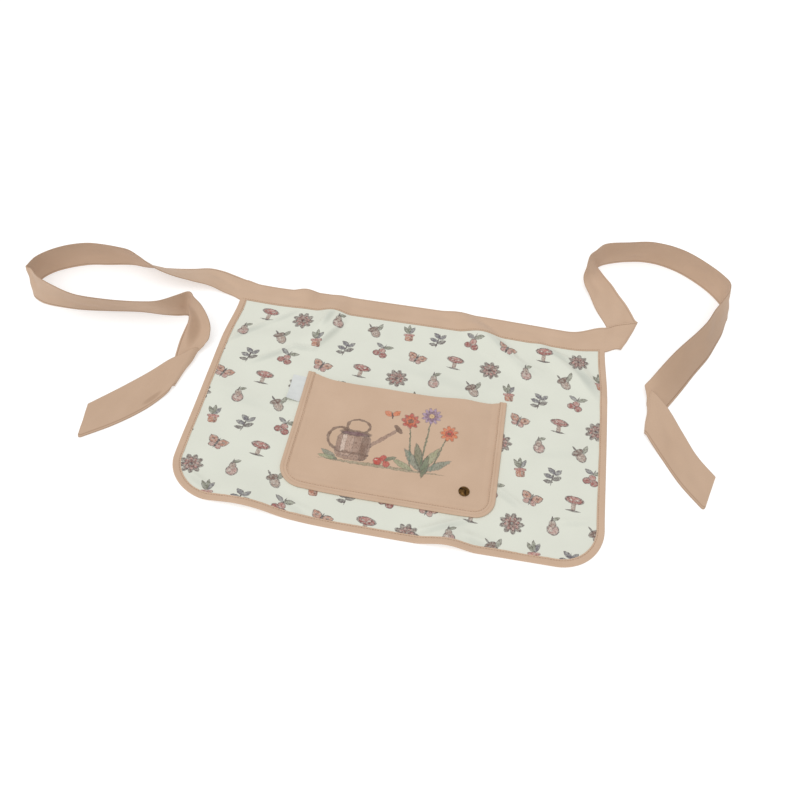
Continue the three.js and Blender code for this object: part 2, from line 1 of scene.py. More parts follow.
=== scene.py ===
# %% [markdown]
# # A gardener's half apron, laid out flat
# The apron lies face up with its two ties thrown loosely to the sides. Its solids come from the packed
# part and stay as a hidden frame. This notebook puts finer cloth over them, piece by piece: the printed
# skirt, its bound edge, the long strap that is waistband and ties in one, the pocket, the small label and
# the badge. Lengths are in millimetres while a piece is drawn, and turn into metres as its mesh is made.

# %% Start
import math

import bpy
import numpy as np
from mathutils import Matrix, Vector


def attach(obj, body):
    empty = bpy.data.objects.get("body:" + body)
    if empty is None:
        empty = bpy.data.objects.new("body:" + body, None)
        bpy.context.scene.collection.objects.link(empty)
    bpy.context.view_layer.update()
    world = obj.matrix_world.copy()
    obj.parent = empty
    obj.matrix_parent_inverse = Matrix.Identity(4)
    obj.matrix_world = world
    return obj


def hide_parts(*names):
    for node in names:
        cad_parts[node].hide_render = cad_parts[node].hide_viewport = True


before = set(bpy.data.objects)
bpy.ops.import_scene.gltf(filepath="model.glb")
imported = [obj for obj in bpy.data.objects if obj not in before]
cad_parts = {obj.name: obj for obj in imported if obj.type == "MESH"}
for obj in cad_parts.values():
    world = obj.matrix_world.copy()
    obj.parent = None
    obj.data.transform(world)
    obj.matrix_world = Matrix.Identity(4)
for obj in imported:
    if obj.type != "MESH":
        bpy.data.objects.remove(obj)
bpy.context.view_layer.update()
mm = 0.001

# %% [markdown]
# ## The camera
# It comes first, because the whole picture hangs on it. The repeating print and the parallel edges of the
# straps gave the place and the angle: the camera looks down by 51 degrees and is rolled by almost 8, so
# that the waistband runs downhill to the right. A focal length of 950 pixels on an 800 pixel picture is
# the same as a 42.75 mm lens on a 36 mm sensor.

# %% Camera
picture_side = 800
focal_pixels = 950
eye = Vector((52.0, -905.5, 1047.4)) * mm
aim = Vector((35.1, -68.4, 0)) * mm
roll = math.radians(7.69)

sensor_wide = 36
camera_data = bpy.data.cameras.new("camera")
camera_data.sensor_width = sensor_wide
camera_data.lens = sensor_wide * focal_pixels / picture_side
camera = bpy.data.objects.new("camera", camera_data)
bpy.context.scene.collection.objects.link(camera)
look = (aim - eye).to_track_quat("-Z", "Y").to_matrix().to_4x4()
camera.matrix_world = Matrix.Translation(eye) @ look @ Matrix.Rotation(roll, 4, "Z")
bpy.context.scene.camera = camera
looking_down = math.degrees(math.asin((eye - aim).normalized().z))
print("lens", camera_data.lens, "mm, looking down by", round(looking_down, 1))

# %% [markdown]
# ## Material tools
# A material in Blender is a net of nodes. Here a wire in that net is wrapped, so that it can be used like a
# number: `1 - mask` adds a Math node. Every other node comes from one method, `node`.

# %% Wires and paint
class Wire:
    """A socket that can be reckoned with."""

    def __init__(self, paint, socket):
        self.paint = paint
        self.socket = socket

    def math(self, operation, *others):
        return self.paint.node("Math", {"operation": operation}, dict(enumerate((self, *others))))

    def __add__(self, other):
        return self.math("ADD", other)

    __radd__ = __add__

    def __mul__(self, other):
        return self.math("MULTIPLY", other)

    __rmul__ = __mul__

    def __sub__(self, other):
        return self.math("SUBTRACT", other)

    def __rsub__(self, other):
        return self.paint.node("Math", {"operation": "SUBTRACT"}, {0: other, 1: self})

    def __truediv__(self, other):
        return self.math("DIVIDE", other)

    def __abs__(self):
        return self.math("ABSOLUTE")

    def ease(self, start, end):
        """0 before start, 1 after end, and a smooth step between. start may be the larger."""
        return self.paint.node(
            "MapRange",
            {"interpolation_type": "SMOOTHSTEP"},
            {"Value": self, "From Min": start, "From Max": end},
        )


class Paint:
    """A material, its net of nodes and its shader."""

    def __init__(self, name, **shader_values):
        self.material = bpy.data.materials.new(name)
        self.material.use_nodes = True
        self.tree = self.material.node_tree
        self.shader = self.tree.nodes["Principled BSDF"]
        for socket, value in shader_values.items():
            self.shader.inputs[socket.replace("_", " ")].default_value = value

    def node(self, kind, settings=None, sockets=None, output=0):
        node = self.tree.nodes.new("ShaderNode" + kind)
        for name, value in (settings or {}).items():
            setattr(node, name, value)
        for name, value in (sockets or {}).items():
            self.plug(node.inputs[name], value)
        return Wire(self, node.outputs[output])

    def plug(self, socket, value):
        if isinstance(value, Wire):
            self.tree.links.new(value.socket, socket)
        elif isinstance(value, tuple) and len(value) == 3 and socket.type == "RGBA":
            socket.default_value = (*value, 1)
        else:
            socket.default_value = value

    def mix(self, share, a, b, blend="MIX"):
        settings = {"data_type": "RGBA", "blend_type": blend}
        return self.node("Mix", settings, {0: share, 6: a, 7: b}, output=2)

    def length(self, place):
        """How far a place lies from 0."""
        return self.node("VectorMath", {"operation": "LENGTH"}, {0: place}, output=1)

    def parts(self, place):
        """The x and the y of a place."""
        x = self.node("SeparateXYZ", {}, {0: place})
        return x, Wire(self, x.socket.node.outputs[1])

    def cut(self):
        """The place on the flat cut of the cloth, in millimetres."""
        place = self.node("UVMap", {"uv_map": "cut"})
        return self.node("VectorMath", {"operation": "SCALE"}, {0: place, "Scale": 1000.0})

    def noise(self, place, scale, detail=2.0, roughness=0.5):
        sockets = {"Vector": place, "Scale": scale, "Detail": detail, "Roughness": roughness}
        return self.node("TexNoise", {}, sockets)

    def finish(self, **sockets):
        for name, value in sockets.items():
            self.plug(self.shader.inputs[name.replace("_", " ")], value)
        return self.material


def srgb(red, green, blue):
    """A colour as it is seen on a screen, as the shader wants it."""
    parts = [value / 255 for value in (red, green, blue)]
    return tuple(p / 12.92 if p <= 0.04045 else ((p + 0.055) / 1.055) ** 2.4 for p in parts)


# %% [markdown]
# ## Floor and light
# The apron lies on a seamless pale sheet. Almost half of its brightness is its own glow, as on a light
# table, so the shadows on it stay faint. One very broad light hangs almost straight above, and the room
# around is white too, so the steep parts of the cloth turn only a shade darker than what lies flat. The
# standard view transform keeps white paper white, as a shop photograph does.

# %% Floor
def link(name, data):
    thing = bpy.data.objects.new(name, data)
    bpy.context.scene.collection.objects.link(thing)
    return thing


floor_reach = 60.0
floor_mesh = bpy.data.meshes.new("floor")
corners = [(x * floor_reach, y * floor_reach, 0) for x, y in ((-1, -1), (1, -1), (1, 1), (-1, 1))]
floor_mesh.from_pydata(corners, [], [(0, 1, 2, 3)])
floor = link("floor", floor_mesh)
floor.location.z = -0.2 * mm
pale = Paint(
    "seamless_sheet",
    Roughness=0.9,
    Specular_IOR_Level=0.1,
    Emission_Color=(1, 1, 1, 1),
    Emission_Strength=0.5,
)
floor_mesh.materials.append(pale.finish(Base_Color=(0.6, 0.6, 0.6)))
print("the floor reaches", floor_reach, "m each way")

# %% Light
key_light = bpy.data.lights.new("key", "SUN")
key_light.energy = 1.5
key_light.angle = math.radians(60)
key = link("key", key_light)
key.rotation_euler = Vector((0.2, 0.3, -1.0)).to_track_quat("-Z", "Y").to_euler()
room_light = 0.58
world = bpy.data.worlds.new("studio")
world.use_nodes = True
room = world.node_tree.nodes["Background"]
room.inputs["Color"].default_value = (1, 1, 1, 1)
room.inputs["Strength"].default_value = room_light
bpy.context.scene.world = world
bpy.context.scene.view_settings.view_transform = "Standard"
print("key light", key_light.energy, "and room light", room_light)

# %% [markdown]
# ## How the cloth lies
# A maker cuts the cloth flat, so each piece is first drawn flat: X along the waistband from the skirt's
# left edge, Y down from the waistband's lower edge (so Y is below zero on the skirt). One function then
# lays any place of that flat cut on the floor: the sides sway, the hem and the waist line drift, and a
# short list of folds lifts the cloth. A second list has the small creases.

# %% Tables of the laid skirt
skirt_width = 560
skirt_drop = 362
sheet_origin = np.array([-231.9, 75.65, 0])

# Drift of the two sides at places down the skirt, as shares of its width, and of the waist line and the hem
# at places across it, as shares of its drop.
side_sway = {
    "at": [0, 0.2, 0.4, 0.6, 0.8, 1],
    "left": [0.008, -0.006, -0.013, -0.019, -0.026, -0.029],
    "right": [-0.001, 0.004, 0.002, -0.002, -0.006, -0.007],
}
edge_drift = {
    "at": [0, 0.1, 0.22, 0.34, 0.5, 0.66, 0.8, 0.92, 1],
    "waist": [0.002, -0.002, 0.004, 0.004, 0.006, 0.006, 0, -0.004, 0.012],
    "hem": [0.028, 0.022, 0.009, -0.011, -0.02, -0.025, -0.028, -0.031, -0.033],
}
# Folds: places across and down as shares of the skirt's width and drop, turn in degrees, half length and
# half width as shares of the width, and height as a share of the drop.
folds = [
    (0.25, 0.06, 78, 0.14, 0.05, 0.024),
    (0.172, -0.09, 95, 0.07, 0.04, 0.016),
    (0.68, 0.03, -42, 0.2, 0.045, 0.024),
    (0.9, 0.12, -43, 0.16, 0.032, 0.019),
    (0.11, 0.19, 12, 0.14, 0.045, 0.01),
    (0.185, 0.99, 84, 0.12, 0.105, 0.021),
    (0.645, 1.0, 80, 0.09, 0.07, 0.024),
    (1.06, -0.13, 90, 0.15, 0.12, 0.013),
]
# Creases that the cloth keeps from being folded: X and Y of their two ends, half width and height, in
# millimetres. They are steeper on one side. The last rows are the long, faint ones.
creases = [
    (92, -2, 53, -38, 4.5, 2.4),
    (56, -34, 6, -88, 5, 3.2),
    (142, 4, 130, -36, 6, 3.4),
    (162, -16, 130, -80, 5, 2.8),
    (136, -77, 100, -76, 5, 2.6),
    (108, -74, 46, -122, 5, 3.0),
    (380, 2, 430, -42, 5, 3.2),
    (424, -38, 468, -56, 6, 1.8),
    (456, 0, 521, -28, 5.5, 3.6),
    (512, -20, 554, -90, 8, 5.0),
    (414, -260, 454, -286, 5, 2.2),
    (316, -350, 396, -311, 5, 2.8),
    (380, -338, 424, -350, 6, 2.4),
    (20, -322, 72, -349, 5, 2.0),
    (148, -334, 192, -350, 6, 2.0),
    (500, -297, 546, -289, 5, 1.4),
    (20, -170, 118, -196, 10, 1.1),
    (440, -190, 545, -176, 11, 1.1),
    (240, -70, 400, -104, 12, 1.3),
]
print("the skirt has", len(folds), "folds and", len(creases), "creases")


def glide(t, start, start_slope, end, end_slope):
    """From start to end as t goes from 0 to 1, along a smooth curve with the given slopes."""
    return (
        (2 * t**3 - 3 * t**2 + 1) * start
        + (t**3 - 2 * t**2 + t) * start_slope
        + (3 * t**2 - 2 * t**3) * end
        + (t**3 - t**2) * end_slope
    )


def read_table(table, place, column):
    """One column of a table at any place between its rows, along a smooth curve."""
    at = np.array(table["at"], float)
    value = np.array(table[column], float)
    slope = np.zeros(len(at))
    slope[1:-1] = (value[2:] - value[:-2]) / (at[2:] - at[:-2])
    i = np.clip(np.searchsorted(at, place) - 1, 0, len(at) - 2)
    span = at[i + 1] - at[i]
    t = np.clip((place - at[i]) / span, 0, 1)
    return glide(t, value[i], slope[i] * span, value[i + 1], slope[i + 1] * span)


def step(value, start, end):
    t = np.clip((value - start) / (end - start), 0, 1)
    return t * t * (3 - 2 * t)


# %% Laying the cloth
def fold_height(X, Y):
    height = np.zeros(np.broadcast(X, Y).shape)
    for across, down, turn, long, wide, high in folds:
        dx = X - across * skirt_width
        dy = Y + down * skirt_drop
        cos, sin = math.cos(math.radians(turn)), math.sin(math.radians(turn))
        u = (dx * cos + dy * sin) / (long * skirt_width)
        v = (dy * cos - dx * sin) / (wide * skirt_width)
        height += high * skirt_drop * np.clip(1 - u**2 - v**2, 0, 1) ** 2
    return height


def lay(X, Y, h):
    """Points on the laid apron, in millimetres, for places of the flat cut and a height over the floor."""
    X, Y, h = np.broadcast_arrays(np.asarray(X, float), np.asarray(Y, float), np.asarray(h, float))
    u = np.clip(X / skirt_width, 0, 1)
    v = np.clip(-Y / skirt_drop, 0, 1)
    left, right = read_table(side_sway, v, "left"), read_table(side_sway, v, "right")
    waist, hem = read_table(edge_drift, u, "waist"), read_table(edge_drift, u, "hem")
    x = X + (left + (right - left) * u) * skirt_width
    y = Y + (waist + (hem - waist) * v) * skirt_drop
    return np.stack([x, y, fold_height(X, Y) + h], axis=-1)


corner = lay(skirt_width, 0, 0)
print("the waistband's right end lies at", ((corner + sheet_origin) * mm).round(4))

# %% [markdown]
# ## Making a cloth body
# Every piece of cloth here is a thin body with a face, a back and a rim. Given a net of points for the face
# and the same net for the back, one function makes the closed mesh. It also stores the place on the flat
# cut in millimetres as a UV map named cut, so that weave and print keep their real scale.

# %% Cloth body
least_height = 0.05
sharp_from = math.radians(55)


def laid_mesh(name, points, faces, finishes):
    """A smooth mesh with its finishes, from points on the laid apron in millimetres."""
    mesh = bpy.data.meshes.new(name)
    mesh.from_pydata(((points + sheet_origin) * mm).tolist(), [], faces)
    mesh.polygons.foreach_set("use_smooth", np.ones(len(faces), bool))
    for finish in finishes:
        mesh.materials.append(finish)
    return mesh


def close_cloth(name, face, back, cut, finishes):
    """face and back are nets of points, cut the net's places on the flat cut. finishes: face, back."""
    rows, columns = face.shape[:2]
    count = rows * columns
    points = np.concatenate([face.reshape(-1, 3), back.reshape(-1, 3)])
    points[:, 2] = np.maximum(points[:, 2], least_height)
    at = np.arange(count).reshape(rows, columns)
    quads = np.stack([at[:-1, :-1], at[:-1, 1:], at[1:, 1:], at[1:, :-1]], -1).reshape(-1, 4)
    rim = np.concatenate([at[0, :], at[1:, -1], at[-1, -2::-1], at[-2:0:-1, 0], at[:1, 0]])
    rim_quads = np.stack([rim[:-1], rim[:-1] + count, rim[1:] + count, rim[1:]], -1)
    faces = np.concatenate([quads, quads[:, ::-1] + count, rim_quads])
    kinds = np.repeat([0, 1, 0], [len(quads), len(quads), len(rim_quads)])
    a, b, c, d = (points[faces[:, k]] for k in range(4))
    volume = (a * (np.cross(b, c) + np.cross(c, d))).sum()
    if volume < 0:
        faces = faces[:, ::-1]
    mesh = laid_mesh(name, points, faces.tolist(), finishes)
    places = np.concatenate([cut.reshape(-1, 2)] * 2) * mm
    layer = mesh.uv_layers.new(name="cut")
    layer.data.foreach_set("uv", places[faces.reshape(-1)].astype(np.float32).reshape(-1))
    mesh.polygons.foreach_set("material_index", kinds.astype(np.int32))
    mesh.set_sharp_from_angle(angle=sharp_from)
    mesh.update()
    piece = link(name, mesh)
    print(name, "has", len(faces), "faces and is", [round(v * 1000) for v in piece.dimensions], "mm")
    return piece


def lay_sheet(name, X, Y, under, thick, finishes):
    """A flat cut laid down, with its back at the height under and its face a thickness higher."""
    return close_cloth(name, lay(X, Y, under + thick), lay(X, Y, under), np.stack([X, Y], -1), finishes)


def ripple(X, Y, size, seed, ways=7):
    """A soft, irregular swell between -1 and 1, with waves of about the given size."""
    draw = np.random.default_rng(seed)
    total = np.zeros(np.broadcast(X, Y).shape)
    for _ in range(ways):
        heading = draw.uniform(0, math.pi)
        length = size * draw.uniform(0.7, 1.6)
        shift = draw.uniform(0, 2 * math.pi)
        total += np.sin((X * math.cos(heading) + Y * math.sin(heading)) * 2 * math.pi / length + shift)
    return total / ways * 1.6


def stations(a, b, spacing):
    return np.linspace(a, b, max(2, int(round(abs(b - a) / spacing)) + 1))


# %% [markdown]
# ## Tan cotton
# The strap, the bindings and the pocket are one plain tan cotton. It has a fine plain weave, which only
# shows close up, a little unevenness of the dye, and a very soft sheen. The weave is two crossed waves
# that lift and sink the surface, and a faint change of tone with them.

# %% Tan cotton
def weave(paint, place, pitch):
    """Height of a plain weave with the given thread spacing in millimetres, from 0 to 1."""
    warp, weft = ((part * (2 * math.pi / pitch)).math("SINE") for part in paint.parts(place))
    return warp * weft * 0.5 + 0.5


def cotton(name, light, dark, pitch=0.7, lift=0.05):
    """A cotton's paint, its uneven colour, its woven bump and the place on its flat cut."""
    paint = Paint(name, Roughness=0.86, Sheen_Weight=0.12, Sheen_Roughness=0.6, Specular_IOR_Level=0.2)
    place = paint.cut()
    threads = weave(paint, place, pitch)
    cloudy = paint.noise(place, 0.02, 3.0)
    slub = paint.noise(place, 0.9, 2.0)
    tone = (cloudy - 0.5) * 0.5 + (slub - 0.5) * 0.35 + threads * 0.12 + 0.45
    colour = paint.mix(tone.ease(0.0, 1.0), dark, light)
    bump = paint.node("Bump", {}, {"Strength": 0.35, "Distance": lift * mm, "Height": threads + slub})
    return paint, colour, bump, place


def plain_cotton(name, light, dark, *weave_sizes):
    paint, colour, bump, _ = cotton(name, light, dark, *weave_sizes)
    return paint.finish(Base_Color=colour, Normal=bump)


tan_light = srgb(208, 180, 156)
tan_dark = srgb(190, 161, 136)
tan_cotton = plain_cotton("tan_cotton", tan_light, tan_dark)
print("plain tan cotton has", len(tan_cotton.node_tree.nodes), "nodes")

# %% Tan cotton of the strap
# Painted shade: the strap's colour is painted a little darker along both edges and along its sewn line,
# where the rounded edge and the seam's dent lie in shade, and darker towards both ends.
tie_wide = 48
seam_in = 3.2
strap_long = 2300
tan_shade = srgb(150, 120, 96)
strap_paint, strap_colour, strap_bump, strap_place = cotton("tan_strap_cotton", tan_light, tan_dark)
strap_along, strap_side = strap_paint.parts(strap_place)
# Painted shade, darker towards both ends of the strap.
painted_end_shade = abs(strap_along - strap_long / 2).ease(300, 1000) * 0.13
# Painted shade along both edges and along the sewn line.
from_fold = abs(strap_side - tie_wide / 2)
painted_edge_shade = from_fold.ease(tie_wide / 2 - 1.1, tie_wide / 2 - 0.2) * 0.45
painted_seam_shade = abs(strap_side - (tie_wide - seam_in)).ease(1.1, 0.3) * 0.4
strap_painted_shade = painted_edge_shade.math("MAXIMUM", painted_seam_shade) + painted_end_shade

# Painted shade in the hollows where a tie turns over or falls: their place along and across the
# strap, half length and half width in millimetres, and how much darker they are painted.
painted_hollow_shades = [
    (236, 27, 42, 14, 0.46),
    (107, 39, 20, 5, 0.35),
    (408, 24, 70, 44, 0.2),
    (1730, 24, 130, 60, 0.16),
    (2010, 24, 140, 60, 0.36),
]
# Each hollow adds its painted shade to the strap's darkening.
for along, aside, half_long, half_wide, darker in painted_hollow_shades:
    u = (strap_along - along) * (1 / half_long)
    v = (strap_side - aside) * (1 / half_wide)
    strap_painted_shade = strap_painted_shade + (u * u + v * v).ease(1.0, 0.0) * darker
strap_shaded = strap_paint.mix(strap_painted_shade, strap_colour, tan_shade)
tan_strap = strap_paint.finish(Base_Color=strap_shaded, Normal=strap_bump)
print("the strap's cotton has", len(painted_hollow_shades), "painted_hollow_shades")

# %% [markdown]
# ## The printed cotton of the skirt
# The skirt is a pale sage cotton with small garden pictures in washed inks. The pictures here are plain,
# common things: a leaf sprig, a toadstool, an acorn, berries, a round flower, a flower pot, a butterfly
# and a pear. They are painted with shader maths rather than with an image, so they stay sharp: each shape
# is an ellipse or a pointed leaf in its own small frame of axes.

# %% Shapes to paint with
def local(paint, place, x, y, turn, half_long, half_wide):
    """The place as seen from a shape: its middle is 0, and its half length and half width are 1."""
    sockets = {
        "Vector": place,
        "Location": (x, y, 0),
        "Rotation": (0, 0, math.radians(turn)),
        "Scale": (half_long, half_wide, 1),
    }
    return paint.node("Mapping", {"vector_type": "TEXTURE"}, sockets)


def oval(paint, place, x, y, half_long, half_wide, turn=0, blur=0.18):
    far = paint.length(local(paint, place, x, y, turn, half_long, half_wide))
    return far.ease(1 + blur, 1 - blur)


def ring(paint, place, x, y, half_long, half_wide, turn=0, line=0.16):
    far = paint.length(local(paint, place, x, y, turn, half_long, half_wide))
    return abs(far - 1).ease(line * 1.4, line * 0.5)


def leaf(paint, place, x, y, half_long, half_wide, turn=0, blur=0.22):
    along, across = paint.parts(local(paint, place, x, y, turn, half_long, half_wide))
    return (along * along + abs(across)).ease(1 + blur, 1 - blur)


def petals(paint, place, x, y, half, count, turn=0, depth=0.35, blur=0.16):
    here = local(paint, place, x, y, turn, half, half)
    right, up = paint.parts(here)
    wave = (up.math("ARCTAN2", right) * (count / 2)).math("COSINE")
    return (paint.length(here) + depth * (1 - abs(wave))).ease(1 + blur, 1 - blur)


def block(paint, place, x, y, half_long, half_wide, turn=0, blur=0.2):
    parts = paint.parts(local(paint, place, x, y, turn, half_long, half_wide))
    along, across = (part * part for part in parts)
    return (along * along + across * across).ease(1 + blur * 2, 1 - blur)


def brush(paint, here, colour, stroke, chosen=1.0, line=0.75):
    """One stroke over the colour below, with an inked rim."""
    shape, tint, weight, *sizes = stroke
    mask = shape(paint, here, *sizes) * chosen
    filled = paint.mix(mask * weight, colour, tint)
    return paint.mix(mask * (1 - mask) * 3.6 * line * chosen, filled, ink), mask


ink = srgb(62, 52, 56)
slate = srgb(96, 98, 112)
rust = srgb(168, 66, 58)
rose = srgb(202, 138, 128)
brown = srgb(124, 92, 78)
pale_brown = srgb(184, 156, 140)
orange = srgb(206, 122, 84)
moss = srgb(120, 128, 104)
cream = srgb(232, 216, 202)

# Each motif is a list of strokes: the shape, its colour and strength, the place of its middle, half length
# and half width in millimetres, and its turn in degrees. Petals have one half size and then their count.
motifs = {
    "sprig": [
        (leaf, ink, 0.9, 0, -1, 11, 0.8, 68),
        (leaf, slate, 0.85, -4.4, 1, 5.4, 2.6, 150),
        (leaf, ink, 0.75, 4.4, -2.8, 5.4, 2.6, 20),
        (leaf, slate, 0.9, 0.4, 7, 5.6, 2.7, 128),
        (leaf, slate, 0.75, 7, 4.6, 5.2, 2.4, 36),
        (leaf, ink, 0.8, -6, -5.8, 5.0, 2.2, 165),
    ],
    "toadstool": [
        (block, pale_brown, 0.85, 0.4, -4.4, 2.2, 5.4, 4),
        (oval, rust, 0.9, 0, 3.4, 9.2, 4.4),
        (oval, rose, 0.85, -0.4, 5.2, 5.8, 2.8),
        (oval, cream, 0.9, -3.4, 3.4, 1.3, 1.0),
        (oval, cream, 0.9, 3.2, 4.0, 1.5, 1.1),
        (leaf, ink, 0.8, 0.6, -9.8, 8, 1.1, 3),
    ],
    "acorn": [
        (oval, pale_brown, 0.85, 1.0, -3.2, 4.8, 6.6, 14),
        (oval, cream, 0.6, -0.6, -2.6, 1.2, 3.6, 14),
        (oval, brown, 0.9, -0.8, 3.6, 6.2, 3.4, 14),
        (leaf, ink, 0.85, -2.8, 9, 4.0, 1.0, 108),
        (leaf, moss, 0.7, 8.2, 4.6, 6, 2.4, 50),
    ],
    "berries": [
        (leaf, ink, 0.8, 0.4, 4.6, 7.4, 0.8, 82),
        (oval, rust, 0.9, -4.4, -4.2, 4.1, 3.9),
        (oval, rust, 0.9, 4.0, -5.4, 4.2, 4.0),
        (oval, rose, 0.9, 0.4, 1.0, 3.8, 3.6),
        (leaf, moss, 0.8, 5.6, 8.0, 6.0, 2.5, 24),
        (leaf, slate, 0.7, -5.0, 7.6, 5.6, 2.3, 160),
    ],
    "round_flower": [
        (petals, brown, 0.75, 0, 0, 11.5, 9),
        (petals, rose, 0.8, 0, 0, 8.4, 8, 16),
        (petals, brown, 0.7, 0, 0, 5.4, 7, 4),
        (oval, ink, 0.85, 0, 0, 2.0, 1.9),
    ],
    "pot": [
        (leaf, moss, 0.85, -3.2, 5, 6.4, 2.3, 118),
        (leaf, slate, 0.8, 3.4, 4.8, 6.2, 2.3, 58),
        (leaf, moss, 0.85, 0.2, 7, 6.6, 2.0, 88),
        (block, orange, 0.85, 0, -6.6, 4.6, 4.8),
        (block, rose, 0.9, 0, -2.0, 6.2, 1.8),
        (oval, brown, 0.6, 2.4, -7.4, 1.4, 3.6),
    ],
    "butterfly": [
        (leaf, orange, 0.75, -5.6, 2.8, 6.6, 4.4, 146),
        (leaf, orange, 0.75, 5.6, 2.8, 6.6, 4.4, 34),
        (oval, rose, 0.8, -3.6, -3.6, 3.6, 3.0, 30),
        (oval, rose, 0.8, 3.6, -3.6, 3.6, 3.0, -30),
        (oval, brown, 0.8, -6.2, 3.2, 1.6, 1.3),
        (oval, brown, 0.8, 6.2, 3.2, 1.6, 1.3),
        (leaf, ink, 0.9, 0, 0, 7.6, 1.3, 90),
    ],
    "pear": [
        (oval, rose, 0.7, 0, -3.2, 5.8, 6.0),
        (oval, pale_brown, 0.75, 0.4, 3.2, 3.4, 4.6, -6),
        (oval, cream, 0.8, -2.2, -2.4, 1.8, 3.0),
        (leaf, ink, 0.85, 0.8, 9, 3.8, 0.8, 74),
        (leaf, moss, 0.8, 4.8, 9.2, 4.6, 1.9, 16),
    ],
}
print(len(motifs), "motifs with", sum(len(strokes) for strokes in motifs.values()), "strokes")

# %% Sage cotton with the scattered print
cell_wide, cell_tall = 52.0, 41.0
print_size = 1.25
print_grey = srgb(150, 132, 130)
print_turns = [12, -8, 20, -14, 0, 6, -18, 10]


def shaken(paint, place, scale, detail, reach):
    """The place moved a little by noise, which makes outlines uneven, as ink on cloth has them."""
    wobble = paint.node("TexNoise", {}, {"Vector": place, "Scale": scale, "Detail": detail}, output=1)
    settings = {"operation": "MULTIPLY_ADD"}
    return paint.node("VectorMath", settings, {0: wobble, 1: (reach, reach, 0), 2: place})


def drawn_out(paint, place, x, y):
    return paint.node("VectorMath", {"operation": "MULTIPLY"}, {0: place, 1: (x, y, 1)})


def scattered_print(paint, place, ground):
    """The motifs on a half-drop lattice: one in each cell, taken in turn."""
    x, y = paint.parts(shaken(paint, place, 0.35, 2.0, 1.6))
    row = (y / cell_tall).math("FLOOR")
    slid = x / cell_wide + row * 0.5
    column = slid.math("FLOOR")
    inside_x = (slid - column - 0.5) * cell_wide
    inside_y = (y / cell_tall - row - 0.5) * cell_tall
    inside = paint.node("CombineXYZ", {}, {0: inside_x, 1: inside_y})
    kind = (column * 3 + row * 7).math("FLOORED_MODULO", float(len(motifs)))
    dark = paint.noise(drawn_out(paint, place, 1, 0.4), 1.3, 3.0).ease(0.47, 0.58) * 0.8
    broken = paint.noise(place, 0.6, 2.0).ease(0.3, 0.6) * 0.7 + 0.3
    colour = ground
    for number, (strokes, turn) in enumerate(zip(motifs.values(), print_turns)):
        aside, above = (number % 3 - 1) * 4, (number % 2) * 5 - 2.5
        here = local(paint, inside, aside, above, turn, print_size, print_size)
        chosen = kind.math("COMPARE", float(number), 0.3)
        for stroke in strokes:
            colour, _ = brush(paint, here, colour, stroke, chosen, broken)
    wash = paint.noise(place, 0.3, 3.0).ease(0.3, 0.62) * 0.4 + 0.6
    inked = paint.mix(dark, colour, paint.mix(0.8, colour, ink, "MULTIPLY"))
    quiet = paint.mix(0.2, inked, print_grey)
    far = paint.node("VectorMath", {"operation": "DISTANCE"}, {0: colour, 1: ground}, output=1)
    return paint.mix(far.ease(0.004, 0.06), ground, paint.mix(wash, ground, quiet))


def creased(paint, place, colour, shade):
    """A soft shade on the lower flank of each crease, where the cloth turns from the light."""
    for x0, y0, x1, y1, wide, high in creases:
        run_x, run_y = x1 - x0, y1 - y0
        long = math.hypot(run_x, run_y)
        down = -abs(run_x) / long
        side = (run_y if run_x > 0 else -run_y) / long
        x = (x0 + x1) / 2 + side * wide * 0.7
        y = (y0 + y1) / 2 + down * wide * 0.7
        turn = math.degrees(math.atan2(run_y, run_x))
        far = paint.length(local(paint, place, x, y, turn, long * 0.6, wide * 1.25))
        colour = paint.mix(far.ease(1.0, 0.1) * high * 0.12, colour, shade)
    return colour


sage_light = srgb(224, 226, 213)
sage_dark = srgb(213, 214, 202)
sage_shade = srgb(178, 183, 174)
sage_weave = 0.6, 0.04
print_paint, sage_colour, sage_bump, sage_place = cotton(
    "printed_sage_cotton", sage_light, sage_dark, *sage_weave
)
sage_creased = creased(print_paint, sage_place, sage_colour, sage_shade)
printed = scattered_print(print_paint, sage_place, sage_creased)
printed_sage = print_paint.finish(Base_Color=printed, Normal=sage_bump)
sage_back = plain_cotton("sage_cotton_back", sage_light, sage_dark, *sage_weave)
print("the print takes", len(print_paint.tree.nodes), "nodes")

# %% [markdown]
# ## The skirt panel
# The skirt is cut as a rectangle with two round lower corners. Its net of points closes up towards the
# round corners, so that the edge is smooth. Near the binding the cloth sits on the tape's lower leaf, and
# further in it sinks to the floor.

# %% Skirt panel
skirt_corner = 62
tape_wide = 10.5
leaf_thick = 0.7
cloth_thick = 0.8
seat = 0.9
tape_tall = 2.7
band_slot = 15
net_spacing = 2.6


def inset_of(X, Y):
    side = np.minimum(X, skirt_width - X)
    low = Y + skirt_drop
    round_inset = skirt_corner - np.hypot(skirt_corner - side, skirt_corner - low)
    straight = np.minimum(np.minimum(side, low), tape_wide - Y)
    return np.where((side < skirt_corner) & (low < skirt_corner), round_inset, straight)


def crease_height(X, Y):
    height = np.zeros(np.broadcast(X, Y).shape)
    for x0, y0, x1, y1, wide, high in creases:
        dx, dy = x1 - x0, y1 - y0
        long = math.hypot(dx, dy)
        along = ((X - x0) * dx + (Y - y0) * dy) / long**2
        off = ((Y - y0) * dx - (X - x0) * dy) / long
        flank = np.where(off > 0, wide, wide * 0.55)
        ends = step(along, -0.12, 0.22) * (1 - step(along, 0.72, 1.1))
        height += high * np.exp(-((off / flank) ** 2)) * ends
    return height


def skirt_under(X, Y):
    inset = inset_of(X, Y)
    soft = 0.35 * step(inset, 12, 60) * (1 + ripple(X, Y, 90, 3)) * 0.5
    held = np.minimum(step(inset, tape_wide, tape_wide + 14), 1 - step(Y, -9, -2))
    raised = crease_height(X, Y) * held
    return seat * (1 - step(inset, tape_wide, tape_wide + 34)) + soft + raised


